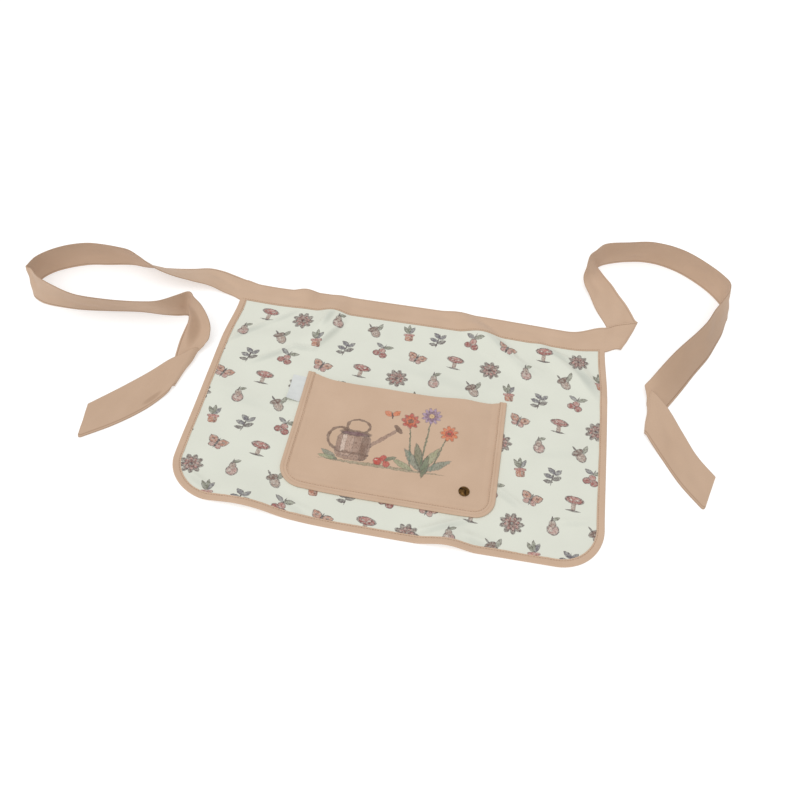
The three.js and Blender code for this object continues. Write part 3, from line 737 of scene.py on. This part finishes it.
def bound_net(left, width, bottom, top, corner, inset, spacing):
    """The net of a sheet whose two lower corners are round."""
    right = left + width
    low, reach = bottom + corner, corner - inset
    columns = np.concatenate(
        [
            stations(left + inset, left + corner, spacing)[:-1],
            stations(left + corner, right - corner, spacing),
            stations(right - corner, right - inset, spacing)[1:],
        ]
    )
    rows = np.concatenate([stations(bottom + inset, low, spacing)[:-1], stations(low, top, spacing)])
    X, Y = np.meshgrid(columns, rows)
    out = np.clip(np.maximum(left + corner - X, X - (right - corner)), 0, reach)
    share = np.clip(low - Y, 0, None) / reach
    return X, np.where(Y < low, low - share * np.sqrt(reach**2 - out**2), Y)


X, Y = bound_net(0, skirt_width, -skirt_drop, band_slot - 1, skirt_corner, 1.5, net_spacing)
skirt = lay_sheet("skirt", X, Y, skirt_under(X, Y), cloth_thick, [printed_sage, sage_back])

# %% [markdown]
# ## Bindings
# A binding is a strip folded over a raw edge and sewn down near its inner edge. Its section is a U: the
# fold is round and a little puffy, and the cloth dips where the stitches pull it down. The strip is drawn
# round the edge as one long loft.

# %% Folded tape
def lengths_along(points):
    """How far each point of a line lies from its start, along the line."""
    return np.concatenate([[0], np.cumsum(np.linalg.norm(np.diff(points, axis=0), axis=1))])


def tape_line(left, width, bottom, side_top, corner, spacing=2.0):
    """Down the left side, along the bottom, up the right side: places, inward directions and lengths."""
    right = left + width
    low = bottom + corner
    side = stations(side_top, low, spacing)
    hem = stations(left + corner, right - corner, spacing)
    turn = np.radians(stations(0, 90, 90 * spacing / (corner * 1.57)))
    ones = np.ones_like
    parts = [
        (left * ones(side), side, ones(side), 0 * side),
        (left + corner - corner * np.cos(turn), low - corner * np.sin(turn), np.cos(turn), np.sin(turn)),
        (hem, bottom * ones(hem), 0 * hem, ones(hem)),
        (right - corner + corner * np.sin(turn), low - corner * np.cos(turn), -np.sin(turn), np.cos(turn)),
        (right * ones(side), side[::-1], -ones(side), 0 * side),
    ]
    keep = [slice(0, None)] + [slice(1, None)] * 4
    X, Y, in_x, in_y = (np.concatenate([part[k][cut] for part, cut in zip(parts, keep)]) for k in range(4))
    return X, Y, in_x, in_y, lengths_along(np.stack([X, Y], -1))


# The section is drawn by its outer skin: the lower leaf, the round fold and the upper leaf, which dips
# where it is sewn or pressed. Places inwards are shares of the tape's width.
def tape_skin(width, tall, dips):
    under = np.linspace(1, 0.2, 5)
    fold = np.radians(np.linspace(-78, 78, 9))
    over = np.concatenate([np.linspace(0.14, 0.94, 25), [1.0]])
    crown = 1.08 - 0.14 * over**2
    for dip in dips:
        crown = crown - dip["deep"] * np.exp(-(((over - dip["at"]) / dip["wide"]) ** 2))
    inwards = np.concatenate([under, 0.13 * (1 - np.cos(fold)), over])
    up = np.concatenate([under * 0, 0.5 + 0.5 * np.sin(fold), crown])
    return inwards * width, up * tall


def folded_tape(name, line, width, tall, base, finish, dips, seed):
    X, Y, in_x, in_y, run = line
    inwards, up = tape_skin(width, tall, dips)
    middle = tall * 0.5
    inner_in = np.maximum(inwards, leaf_thick * 0.9)
    below = np.minimum(up + leaf_thick, middle - 0.1)
    inner_up = np.where(up < middle, below, np.maximum(up - leaf_thick, middle + 0.1))
    straight = np.zeros_like(run)
    pucker = (0.2 * ripple(run, straight, 8, seed) + 0.14 * ripple(run, straight, 40, seed + 1))[:, None]
    waver = 0.4 * ripple(run, straight, 55, seed + 2)[:, None] * (inwards / width)[None, :]
    nets = []
    for across_tape, high in ((inwards, up), (inner_in, inner_up)):
        in_mm = across_tape[None, :] + waver
        px = X[:, None] + in_x[:, None] * in_mm
        py = Y[:, None] + in_y[:, None] * in_mm
        lifted = high[None, :] + pucker * (high / tall)[None, :] * (0.3 + (across_tape / width)[None, :])
        nets.append(lay(px, py, base(px, py) + lifted))
    cut = np.stack(np.broadcast_arrays(run[:, None], inwards[None, :] + up[None, :]), -1)
    return close_cloth(name, *nets, cut, [finish, finish])


skirt_line = tape_line(0, skirt_width, -skirt_drop, 2.0, skirt_corner)
skirt_dips = [{"at": 0.82, "deep": 0.2, "wide": 0.07}]


def floor_height(X, Y):
    return 0 * X


skirt_binding = folded_tape(
    "skirt_binding", skirt_line, tape_wide, tape_tall, floor_height, tan_cotton, skirt_dips, 11
)

# %% [markdown]
# ## The strap: waistband and ties in one
# On the real apron one long folded strap clasps the skirt's top edge and runs on to both sides as the
# ties. So it is one piece here too. The ties are drawn from cross lines: each row of a table is a line
# across the strap, where it stands on the floor, which way it leans and how long it is. Smooth curves
# through the two ends of all these lines are the strap's edges.

# %% Cross lines of the ties
tie_thick = 2.0
tip_round = 6
tie_left_length = 930
tie_right_length = 960
band_wide, band_left_end, band_right_end = 38, 43, 49
flare_left, flare_right = 26, 58
band_lift = 1.0
into_band = 16.0

# x, y and up place the lower edge from the waistband's end, as shares of the tie's length. bearing and
# lean, in degrees, point to the other edge, and reach is its distance as a share of the strap's width.
tie_left_rows = [
    (-0.022, 0.053, 0, -77, 1, 0.97),
    (-0.04, 0.058, 0, -78, 4, 0.99),
    (-0.063, 0.06, 0, -77, 12, 1),
    (-0.09, 0.053, 0, -78, 23, 1),
    (-0.12, 0.047, 0, -81, 34, 1),
    (-0.145, 0.044, 0, -84, 46, 1),
    (-0.168, 0.042, 0, -88, 63, 1),
    (-0.186, 0.043, 0, -86, 71, 1),
    (-0.207, 0.0395, 0, -81, 77, 1),
    (-0.229, 0.0345, 0, -75, 82.5, 1),
    (-0.2535, 0.0295, 0, -70, 85.5, 1),
    (-0.2825, 0.0168, 0, -59, 86.5, 1),
    (-0.3065, -0.0005, 0, -42, 86, 1),
    (-0.3205, -0.021, 0, -20, 88, 1),
    (-0.323, -0.0425, 0, 90, 88, 1.03),
    (-0.317, -0.0585, 0, 118, 78, 1.09),
    (-0.303, -0.068, 0, 124, 68, 1.14),
    (-0.29, -0.071, 0, 145, 77, 1.08),
    (-0.27, -0.072, 0, -90, 85, 1),
    (-0.236, -0.071, 0, -86, 73, 1),
    (-0.188, -0.064, 0, -80, 66, 1),
    (-0.145, -0.057, 0, -82, 64, 1),
    (-0.112, -0.056, 0, -84, 70, 1),
    (-0.088, -0.0535, 0, -49, 83.6, 1),
    (-0.077, -0.0507, 0, 23, 81, 1.02),
    (-0.0735, -0.0502, 0, 18, 80.5, 1.03),
    (-0.0705, -0.051, 0, 7, 80.2, 1.02),
    (-0.0695, -0.0537, 0, 0, 78, 1),
    (-0.068, -0.064, 0, -2, 62, 1),
    (-0.069, -0.078, 0, 1, 43, 1),
    (-0.07, -0.091, 0, 5, 29, 1),
    (-0.0705, -0.105, 0, 11, 21, 0.99),
    (-0.07, -0.121, 0, 20, 15, 0.98),
    (-0.068, -0.146, 0, 41, 10, 1.05),
    (-0.062, -0.173, 0, 62, 6, 1.28),
    (-0.056, -0.192, 0.0005, 76, 3, 1.5),
    (-0.054, -0.196, 0.002, 76, 3, 1.52),
    (-0.056, -0.198, 0.0036, 78, 5, 1.5),
    (-0.059, -0.209, 0.003, 87, 5.5, 1.4),
    (-0.067, -0.2225, 0.001, 94, 5, 1.41),
    (-0.0845, -0.2465, 0, 99, 1, 1.42),
    (-0.118, -0.28, 0, 99, 0, 1.36),
    (-0.162, -0.3135, 0, 94.3, 0, 1.22),
]
tie_right_rows = [
    (0.02, 0.0645, 0.001, -93, 0, 1.1),
    (0.04, 0.0708, 0.0022, -105, 0, 1.27),
    (0.0507, 0.0741, 0.0026, -113.7, 0, 1.427),
    (0.0542, 0.076, 0.0014, -113.7, 0, 1.45),
    (0.0515, 0.0795, 0, -113, 0, 1.45),
    (0.0445, 0.096, 0, -118, 0, 1.37),
    (0.0365, 0.114, 0, -126, 0, 1.24),
    (0.0248, 0.134, 0, -132, 2, 1.17),
    (0.014, 0.155, 0, -137, 6, 1.08),
    (0.0065, 0.166, 0, -144, 12, 1.04),
    (0.0005, 0.175, 0, -142, 22, 1.06),
    (-0.005, 0.184, 0, -136, 36, 1.06),
    (-0.0095, 0.193, 0, -138, 54, 1.04),
    (-0.005, 0.198, 0, -142, 64, 1),
    (0.006, 0.205, 0, -160, 72, 1),
    (0.032, 0.216, 0, -85, 84, 1),
    (0.067, 0.224, 0, -81, 85, 1),
    (0.093, 0.223, 0, -97, 85.5, 1),
    (0.1145, 0.217, 0, -111, 87, 1),
    (0.1355, 0.207, 0, -123, 88, 1),
    (0.166, 0.184, 0, -133, 89, 1),
    (0.185, 0.163, 0, 36, 89, 1),
    (0.1965, 0.144, 0, 120, 86, 1.02),
    (0.2045, 0.122, 0, 150, 74, 1.04),
    (0.199, 0.103, 0, 161, 68, 1),
    (0.1915, 0.078, 0, 158, 60, 1.02),
    (0.178, 0.048, 0, 155, 59, 1.04),
    (0.165, 0.021, 0, 150, 54, 1.06),
    (0.137, -0.024, 0, 149, 42, 1.04),
    (0.12, -0.053, 0, 145, 34, 1.02),
    (0.093, -0.096, 0, 126, 20, 1.02),
    (0.0735, -0.125, 0, 104, 10, 1.26),
    (0.0595, -0.146, 0.0005, 86, 3, 1.66),
    (0.057, -0.151, 0.0022, 84.5, 2.5, 1.7),
    (0.0588, -0.155, 0.0042, 83, 5.5, 1.64),
    (0.067, -0.1695, 0.003, 70, 6, 1.43),
    (0.081, -0.191, 0, 60, 4, 1.24),
    (0.1045, -0.231, 0, 62, 0, 1.24),
    (0.1365, -0.2705, 0, 71, 0, 1.31),
]


def cross_lines(rows, corner, length):
    """The two ends of each row's line, at the strap's middle layer."""
    x, y, up, bearing, lean, reach = np.array(rows, float).T
    bearing, lean = np.radians(bearing), np.radians(lean)
    rest = tie_thick / 2 * np.abs(np.cos(lean))
    low = np.stack([corner[0] + x * length, corner[1] + y * length, up * length + rest], -1)
    way = np.stack([np.cos(lean) * np.cos(bearing), np.cos(lean) * np.sin(bearing), np.sin(lean)], -1)
    return low, low + way * (reach * tie_wide)[:, None]


# %% Smooth edges
def through(points, counts):
    """A curve through all points but the last, with the given number of steps in each span."""
    before = 2 * points[0] - points[1]
    chain = np.concatenate([[before], points])
    found = []
    for k, count in enumerate(counts):
        p0, p1, p2 = chain[k], chain[k + 1], chain[k + 2]
        p3 = chain[k + 3] if k + 3 < len(chain) else 2 * p2 - p1
        d0, d1, d2 = (max(np.linalg.norm(b - a), 1e-6) ** 0.5 for a, b in ((p0, p1), (p1, p2), (p2, p3)))
        t1 = ((p1 - p0) / d0 - (p2 - p0) / (d0 + d1) + (p2 - p1) / d1) * d1
        t2 = ((p2 - p1) / d1 - (p3 - p1) / (d1 + d2) + (p3 - p2) / d2) * d1
        t = np.linspace(0, 1, count, endpoint=False)[:, None]
        found.append(glide(t, p1, t1, p2, t2))
    return np.concatenate(found)


def band_width_at(X):
    left = 1 - step(X, 0, flare_left)
    right = step(X, skirt_width - flare_right, skirt_width)
    return band_wide + (band_left_end - band_wide) * left + (band_right_end - band_wide) * right


def tie_net(rows, root_X, next_X, length, shares):
    """The net of a tie's middle layer, from its tip to the waistband."""
    low, other = cross_lines(rows, lay(root_X, 0, 0), length)
    top = band_width_at(root_X), band_width_at(next_X)
    ends = [
        np.concatenate([line[::-1], lay([root_X, next_X], Y, band_lift)])
        for line, Y in ((low, top), (other, (0, 0)))
    ]
    spans, low_spans = (np.diff(lengths_along(line))[:-1] for line in ((ends[0] + ends[1]) / 2, ends[0]))
    counts = np.maximum(3, np.ceil(np.maximum(spans, low_spans * 0.7) / net_spacing)).astype(int)
    counts[0] *= 2
    upper, lower = (through(line, counts) for line in ends)
    middle = (upper + lower) / 2
    short = np.clip(tip_round - lengths_along(middle), 0, tip_round)
    hidden = (tip_round - np.sqrt(tip_round**2 - short**2)) / np.linalg.norm(upper - lower, axis=1)
    row_shares = shares[None, :] * (1 - hidden[:, None])
    return lower[:, None] + (upper - lower)[:, None] * row_shares[..., None]


# %% The strap's middle layer
# The columns lie closer near both edges, where the fold and the sewn line are. In the waistband the strap
# is fuller, and that sets in over a few cross lines.
edge = np.array([0, 0.004, 0.012, 0.022, 0.034, 0.045, 0.054, 0.062, 0.071, 0.081, 0.095])
shares = np.concatenate([edge, np.linspace(0.13, 0.87, 17), 1 - edge[::-1]])
left_net = tie_net(tie_left_rows, 0.0, into_band, tie_left_length, shares)
right_net = tie_net(tie_right_rows, float(skirt_width), skirt_width - into_band, tie_right_length, shares)
band_X = stations(0, skirt_width, net_spacing)
band_Y = shares[None, :] * band_width_at(band_X)[:, None]
band_net = lay(band_X[:, None], band_Y, band_lift)
middle = np.concatenate([left_net, band_net, right_net[::-1]])
in_band = np.repeat([0.0, 1.0, 0.0], [len(left_net), len(band_net), len(right_net)])
blend = 6
window = np.ones(2 * blend + 1) / (2 * blend + 1)
banded = np.convolve(np.pad(in_band, blend, "edge"), window, "valid")[:, None]
run = lengths_along(middle.mean(1))
print("the strap is", round(run[-1]), "mm long, with", len(run), "cross lines")

# %% Strap
low_seam_in = 2.4
strap_half = 0.85
across = np.linalg.norm(middle[:, -1] - middle[:, 0], axis=1)
out = np.cross(np.gradient(middle, axis=0), np.gradient(middle, axis=1))
out /= np.maximum(np.linalg.norm(out, axis=2, keepdims=True), 1e-9)
from_low = shares[None, :] * across[:, None]
from_top = (1 - shares)[None, :] * across[:, None]
from_edge = np.minimum(from_low, from_top)
rounding = np.sqrt(np.clip(1 - (1 - np.clip(from_edge / 0.9, 0, 1)) ** 2, 0, 1))
seam = np.exp(-(((from_top - seam_in) / 0.6) ** 2)) * (1 - banded)
low_seam = np.exp(-(((from_low - low_seam_in) / 0.8) ** 2)) * banded
over_slot = (1 - step(from_low, 14, 22)) * banded
place_along, place_across = run[:, None], shares[None, :] * tie_wide
puff = 0.08 * ripple(place_along, place_across, 30, 21)
half = rounding * (strap_half + puff - 0.4 * seam - 0.4 * low_seam)
slack = np.sin(math.pi * shares)[None, :] * (1 - 0.6 * banded)
belly = slack * (0.4 + 1.2 * ripple(place_along, place_across * 1.5, 48, 5))
face = middle + out * (half + belly + over_slot * strap_half * rounding)[..., None]
face[..., 2] = np.maximum(face[..., 2], least_height)
back = middle + out * (belly - half)[..., None]
cut = np.stack(np.broadcast_arrays(place_along, place_across), -1)
strap = close_cloth("strap", face, back, cut, [tan_strap, tan_strap])

# %% [markdown]
# ## The pocket
# The pocket is a wide patch. Its bound sides and bottom are sewn to the skirt, and its mouth stands a
# little open and sags in the middle. A soft ridge runs down from the mouth on the right.

# %% Pocket sizes and form
pocket_left, pocket_width = 136, 282
pocket_top, pocket_deep = 121, 192
pocket_corner, pocket_tape = 30, 10
mouth_rise, mouth_sag = 7, 14
mouth_shape = {
    "at": [0, 0.15, 0.4, 0.65, 0.81, 0.9, 1],
    "rise": [0, 0.7, 1, 1, 1.35, 0.7, 0],
    "sag": [0, 0.8, 1, 1, 0.85, 0.6, 0],
}
pocket_bottom = -pocket_top - pocket_deep


def pocket_base(X, Y):
    return skirt_under(X, Y) + cloth_thick + 0.15


def pocket_rise(X, Y):
    across = (X - pocket_left - pocket_tape) / (pocket_width - 2 * pocket_tape)
    up = np.clip((Y - pocket_bottom - pocket_tape) / (pocket_deep - pocket_tape), 0, 1)
    full = read_table(mouth_shape, np.clip(across, 0, 1), "rise") * np.sin(up * math.pi / 2) ** 1.5
    return mouth_rise * np.where((across > 0) & (across < 1), full, 0)


def pocket_under(X, Y):
    side = np.minimum(X - pocket_left, pocket_left + pocket_width - X)
    inset = np.minimum(side, Y - pocket_bottom)
    pull = 0.5 * np.exp(-(((inset - 15) / 2.2) ** 2)) - 0.25 * np.exp(-(((inset - 19.5) / 2.5) ** 2))
    soft = 0.25 * step(inset, 12, 50) * (1 + ripple(X, Y, 60, 8))
    return pocket_base(X, Y) + seat + pocket_rise(X, Y) + pull + soft


def droop(X, Y):
    across = np.clip((X - pocket_left) / pocket_width, 0, 1)
    up = np.clip((Y - pocket_bottom) / pocket_deep, 0, 1)
    return Y - mouth_sag * read_table(mouth_shape, across, "sag") * up**3


# %% [markdown]
# ## The pocket's picture
# The picture on the pocket is a gardener's still life in soft washes: a watering can stands on the left,
# and on the right three tall flowers rise from their leaves, with a few berries on the ground between. It
# is painted with the same strokes as the small motifs, each placed one by one.

# %% Pocket picture
deep_green = srgb(78, 104, 82)
soft_green = srgb(132, 150, 116)
blue_green = srgb(98, 126, 114)
tomato = srgb(184, 46, 44)
carrot = srgb(212, 104, 56)
lilac = srgb(160, 136, 172)
plum = srgb(112, 76, 100)
straw = srgb(208, 176, 128)
umber = srgb(98, 72, 60)
grey_brown = srgb(146, 118, 106)
# A ring's last number is half the width of its line, as a share of its size.
picture_strokes = [
    (leaf, moss, 0.6, 0, -44, 84, 2.4, 1),
    (ring, umber, 0.8, -62, -10, 15, 17, 0, 0.13),
    (ring, umber, 0.8, -40, 12, 15, 11, 0, 0.13),
    (block, grey_brown, 0.85, -8, -4, 27, 2.6, 44),
    (oval, umber, 0.85, 13, 17, 8, 3.4, -46),
    (block, grey_brown, 0.85, -42, -20, 22, 21),
    (block, pale_brown, 0.7, -50, -18, 8, 18),
    (block, cream, 0.45, -55, -16, 2.4, 15),
    (block, umber, 0.6, -27, -22, 5, 18),
    (oval, umber, 0.75, -42, 1, 21, 4.4),
    (oval, plum, 0.5, -42, 0, 17, 2.8),
    (block, umber, 0.7, -42, -31, 22, 1.6),
    (leaf, deep_green, 0.8, 32, -6, 40, 1.3, 98),
    (leaf, deep_green, 0.8, 52, 0, 46, 1.4, 87),
    (leaf, deep_green, 0.8, 72, -10, 34, 1.3, 76),
    (leaf, blue_green, 0.75, 38, -26, 20, 5.4, 128),
    (leaf, deep_green, 0.75, 46, -20, 22, 5.6, 106),
    (leaf, soft_green, 0.75, 61, -22, 22, 5.6, 62),
    (leaf, blue_green, 0.75, 73, -30, 20, 5.2, 32),
    (leaf, soft_green, 0.75, 27, -36, 16, 4.4, 158),
    (leaf, deep_green, 0.75, 56, -34, 18, 4.8, 84),
    (petals, tomato, 0.85, 27, 34, 13, 8),
    (petals, carrot, 0.7, 27, 34, 8, 7, 14),
    (oval, umber, 0.85, 27, 34, 3.8, 3.6),
    (petals, lilac, 0.85, 54, 47, 14, 11, 8),
    (petals, plum, 0.6, 54, 47, 8.6, 9),
    (oval, straw, 0.9, 54, 47, 4.0, 3.8),
    (petals, carrot, 0.85, 81, 22, 12.5, 9, 20),
    (oval, tomato, 0.8, 81, 22, 5.4, 5.2),
    (oval, umber, 0.8, 81, 22, 2.6, 2.4),
    (oval, tomato, 0.9, -6, -37, 6, 5.8),
    (oval, tomato, 0.85, 6, -39, 5.2, 5.0),
    (oval, tomato, 0.9, 1, -31, 5, 4.8),
    (oval, cream, 0.7, -8, -35, 1.6, 1.3),
    (leaf, deep_green, 0.8, 10, -30, 9, 2.8, 24),
    (leaf, blue_green, 0.7, -70, -38, 14, 4.2, 150),
    (leaf, soft_green, 0.7, -72, -42, 13, 3.4, 176),
    (leaf, carrot, 0.75, -4, 40, 7, 4.2, 150),
    (leaf, carrot, 0.75, 6, 42, 7, 4.2, 42),
    (leaf, ink, 0.9, 1, 38, 6, 1.2, 100),
]


def painted_picture(paint, place, ground, strokes, middle_x, middle_y):
    moved = shaken(paint, place, 0.22, 3.0, 4.5)
    here = local(paint, moved, middle_x + 2.2, middle_y + 2.2, 0, 1, 1)
    colour = ground
    cover = 0.0
    for stroke in strokes:
        colour, mask = brush(paint, here, colour, stroke, line=0.6)
        cover = mask + cover
    cover = cover.ease(0.0, 0.9)
    mottled = paint.noise(place, 0.13, 4.0, 0.65).ease(0.3, 0.7)
    fine = paint.noise(drawn_out(paint, place, 0.9, 0.35), 0.8, 3.0).ease(0.5, 0.63) * 0.5
    washed = paint.mix(mottled * 0.3, colour, paint.mix(0.5, colour, cream))
    inked = paint.mix(fine, washed, paint.mix(0.8, washed, umber, "MULTIPLY"))
    return paint.mix(cover * 0.92, ground, inked)


front_paint, front_colour, front_bump, front_place = cotton("printed_tan_cotton", tan_light, tan_dark)
picture = painted_picture(front_paint, front_place, front_colour, picture_strokes, pocket_left + 128, -216)
printed_tan = front_paint.finish(Base_Color=picture, Normal=front_bump)
print("the picture takes", len(front_paint.tree.nodes), "nodes")

# %% Pocket and its binding
X, Y = bound_net(pocket_left, pocket_width, pocket_bottom, -pocket_top, pocket_corner, 1.2, 2.4)
Y = droop(X, Y)
pocket = lay_sheet("pocket_cloth", X, Y, pocket_under(X, Y), cloth_thick, [printed_tan, tan_cotton])
pocket_line = tape_line(pocket_left, pocket_width, pocket_bottom, -pocket_top, pocket_corner)
# The pocket's tape has a pressed line along its middle, and is sewn close to its inner edge.
pocket_dips = [{"at": 0.5, "deep": 0.24, "wide": 0.06}, {"at": 0.88, "deep": 0.24, "wide": 0.05}]
pocket_binding = folded_tape(
    "pocket_tape", pocket_line, pocket_tape, tape_tall, pocket_base, tan_cotton, pocket_dips, 31
)

# %% [markdown]
# ## Label and badge
# The side tag is a folded bit of white satin tape, caught under the pocket's binding and left blank. The
# badge is a plain domed button of dark bronze.

# %% Label
label_wide, label_tall, label_drop = 19, 46, 10
satin_paint = Paint("white_satin", Roughness=0.5, Sheen_Weight=0.2)
satin_place = satin_paint.cut()
satin_threads = weave(satin_paint, satin_place, 0.5)
satin_cloud = satin_paint.noise(satin_place, 0.15, 2.0)
satin_tone = satin_paint.mix(satin_cloud, srgb(204, 207, 205), srgb(219, 221, 218))
satin_bump = satin_paint.node("Bump", {}, {"Strength": 0.2, "Distance": 0.03 * mm, "Height": satin_threads})
white_satin = satin_paint.finish(Base_Color=satin_tone, Normal=satin_bump)

label_caught = 3
label_left = pocket_left - label_wide
label_top = -pocket_top - label_drop
X, Y = np.meshgrid(
    stations(label_left, pocket_left + label_caught, 0.8),
    stations(label_top - label_tall, label_top, 1.0),
)
free = np.clip((pocket_left - X) / label_wide, 0, 1)
low = np.clip((label_top - Y) / label_tall, 0, 1)
curl = 0.25 + 1.2 * free**2 * (0.6 + 0.4 * np.sin((Y + 130) / 9.0)) + 4.2 * free * low**5
label_under = skirt_under(X, Y) + cloth_thick + curl * np.where(X > pocket_left - 0.5, 0, 1)
label = lay_sheet("side_label", X, Y, label_under, leaf_thick, [white_satin, white_satin])

# %% Badge
badge_from_right, badge_from_bottom = 42, 36
bronze_paint = Paint("dark_bronze", Metallic=1.0)
bronze_place = bronze_paint.node("TexCoord", {}, {}, output=3)
bronze_wear = bronze_paint.noise(bronze_place, 260.0, 3.0)
bronze_tone = bronze_paint.mix(bronze_wear.ease(0.35, 0.65), srgb(52, 36, 20), srgb(116, 86, 48))
bronze_bump = bronze_paint.node("Bump", {}, {"Strength": 0.25, "Distance": 0.2 * mm, "Height": bronze_wear})
bronze_rough = bronze_wear * 0.3 + 0.32
dark_bronze = bronze_paint.finish(Base_Color=bronze_tone, Roughness=bronze_rough, Normal=bronze_bump)


def tube_faces(tubes, rings, sides):
    """The faces of closed tubes whose points are counted by tube, ring and side."""
    index = np.arange(tubes * rings * sides).reshape(tubes, rings, sides)
    after = np.roll(index, -1, axis=2)
    quads = np.stack([index[:, :-1], after[:, :-1], after[:, 1:], index[:, 1:]], -1).reshape(-1, 4)
    return quads.tolist() + index[:, 0, ::-1].tolist() + index[:, -1].tolist()


# The button's outline from its foot to its crown: distance from the middle and height. It is 15 mm across.
badge_outline = [
    (5.8, 0),
    (7.1, 0.2),
    (7.5, 0.75),
    (7.4, 1.25),
    (6.9, 1.6),
    (6.3, 1.55),
    (5.9, 1.35),
    (5.5, 1.5),
    (4.6, 2.0),
    (3.0, 2.35),
    (1.4, 2.5),
]
badge_sides = 48
badge_X = np.array(pocket_left + pocket_width - badge_from_right)
badge_Y = np.array(pocket_bottom + badge_from_bottom)
badge_seat = lay(badge_X, badge_Y, pocket_under(badge_X, badge_Y) + cloth_thick)
radius, high = np.array(badge_outline).T[:, :, None]
turns = np.linspace(0, 2 * math.pi, badge_sides, endpoint=False)
rings = np.stack(np.broadcast_arrays(radius * np.cos(turns), radius * np.sin(turns), high), -1)
badge_faces = tube_faces(1, len(badge_outline), badge_sides)
badge_mesh = laid_mesh("badge_button", badge_seat + rings.reshape(-1, 3), badge_faces, [dark_bronze])
badge = link("badge_button", badge_mesh)
print("the badge is", [round(v * 1000, 1) for v in badge.dimensions], "mm")

# %% [markdown]
# ## Stitches
# A lock stitch shows as a row of short raised dashes that dive into the cloth at both ends. Each dash is a
# small tube along the seam. All dashes of one seam make one mesh.

# %% Thread
# The thread is a little darker than the cloth: partly its own colour, partly painted shade of the needle
# holes along each seam.
thread_paint = Paint("tan_thread", Roughness=0.7)
thread_place = thread_paint.node("TexCoord", {}, {}, output=3)
thread_fluff = thread_paint.noise(thread_place, 900.0, 2.0)
thread_tone = thread_paint.mix(thread_fluff, srgb(150, 118, 92), srgb(182, 150, 122))
tan_thread = thread_paint.finish(Base_Color=thread_tone)


def between(at, places, values):
    """Values at the given places of a line, from the places and values of its points."""
    return np.stack([np.interp(at, places, values[:, axis]) for axis in range(3)], -1)


def sew(name, line, up, stitch=2.8, gap=0.8, thick=0.46, sides=6):
    """Stitches along a line of points, with the direction out of the cloth at each point."""
    run = lengths_along(line)
    starts = np.arange(1.0, run[-1] - stitch - 1.0, stitch + gap)
    at = starts[:, None] + stitch * np.array([0.0, 0.12, 0.35, 0.65, 0.88, 1.0])
    lift = np.array([-0.5, 0.25, 0.55, 0.55, 0.25, -0.5]) * thick
    radius = np.array([0.5, 0.9, 1.0, 1.0, 0.9, 0.5]) * thick / 2
    out = between(at, run, up)
    out /= np.linalg.norm(out, axis=-1, keepdims=True)
    place = between(at, run, line) + out * lift[:, None]
    side = np.cross(np.gradient(place, axis=1), out)
    side /= np.linalg.norm(side, axis=-1, keepdims=True)
    angle = np.arange(sides) * 2 * math.pi / sides
    aside, above = (part[:, None] * radius[:, None, None] for part in (np.cos(angle), np.sin(angle)))
    rings = place[:, :, None] + side[:, :, None] * aside + out[:, :, None] * above
    mesh = laid_mesh(name, rings.reshape(-1, 3), tube_faces(*at.shape, sides), [tan_thread])
    print(name, "has", len(at), "stitches")
    return link(name, mesh)


def tape_seam(name, line, width, base, inwards, high=0.78):
    X, Y, in_x, in_y, _ = line
    px, py = X + in_x * width * inwards, Y + in_y * width * inwards
    points = lay(px, py, base(px, py) + tape_tall * high)
    return sew(name, points, np.tile([0.0, 0.0, 1.0], (len(points), 1)))


skirt_seam = tape_seam("stitches_skirt_binding", skirt_line, tape_wide, floor_height, 0.82)
pocket_seam = tape_seam("stitches_pocket_binding", pocket_line, pocket_tape, pocket_base, 0.88, 0.74)


def strap_row(name, distance, from_top, rows):
    """A seam along the strap, at a distance from one of its edges."""
    share = distance / across
    share = 1 - share if from_top else share
    line, up = (np.array([between(share[k], shares, net[k]) for k in rows]) for net in (face, out))
    return sew(name, line, up)


first = len(left_net)
last = first + len(band_net)
band_seam = strap_row("stitches_waistband", low_seam_in, False, range(first + 1, last - 1))
left_seam = strap_row("stitches_tie_left", seam_in, True, range(2, first - 2))
right_seam = strap_row("stitches_tie_right", seam_in, True, range(last + 2, len(run) - 2))

# %% [markdown]
# ## Hand-over
# Each piece rides on the root body, and the packed solids that it stands for are hidden.

# %% Hand-over
seams = [skirt_seam, pocket_seam, band_seam, left_seam, right_seam]
for piece in [skirt, skirt_binding, strap, pocket, pocket_binding, label, badge, *seams]:
    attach(piece, "root")

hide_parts("panel")
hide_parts("panel_binding")
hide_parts("waistband", "tie_left", "tie_right")
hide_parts("pocket")
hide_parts("pocket_binding")
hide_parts("label")
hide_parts("badge")
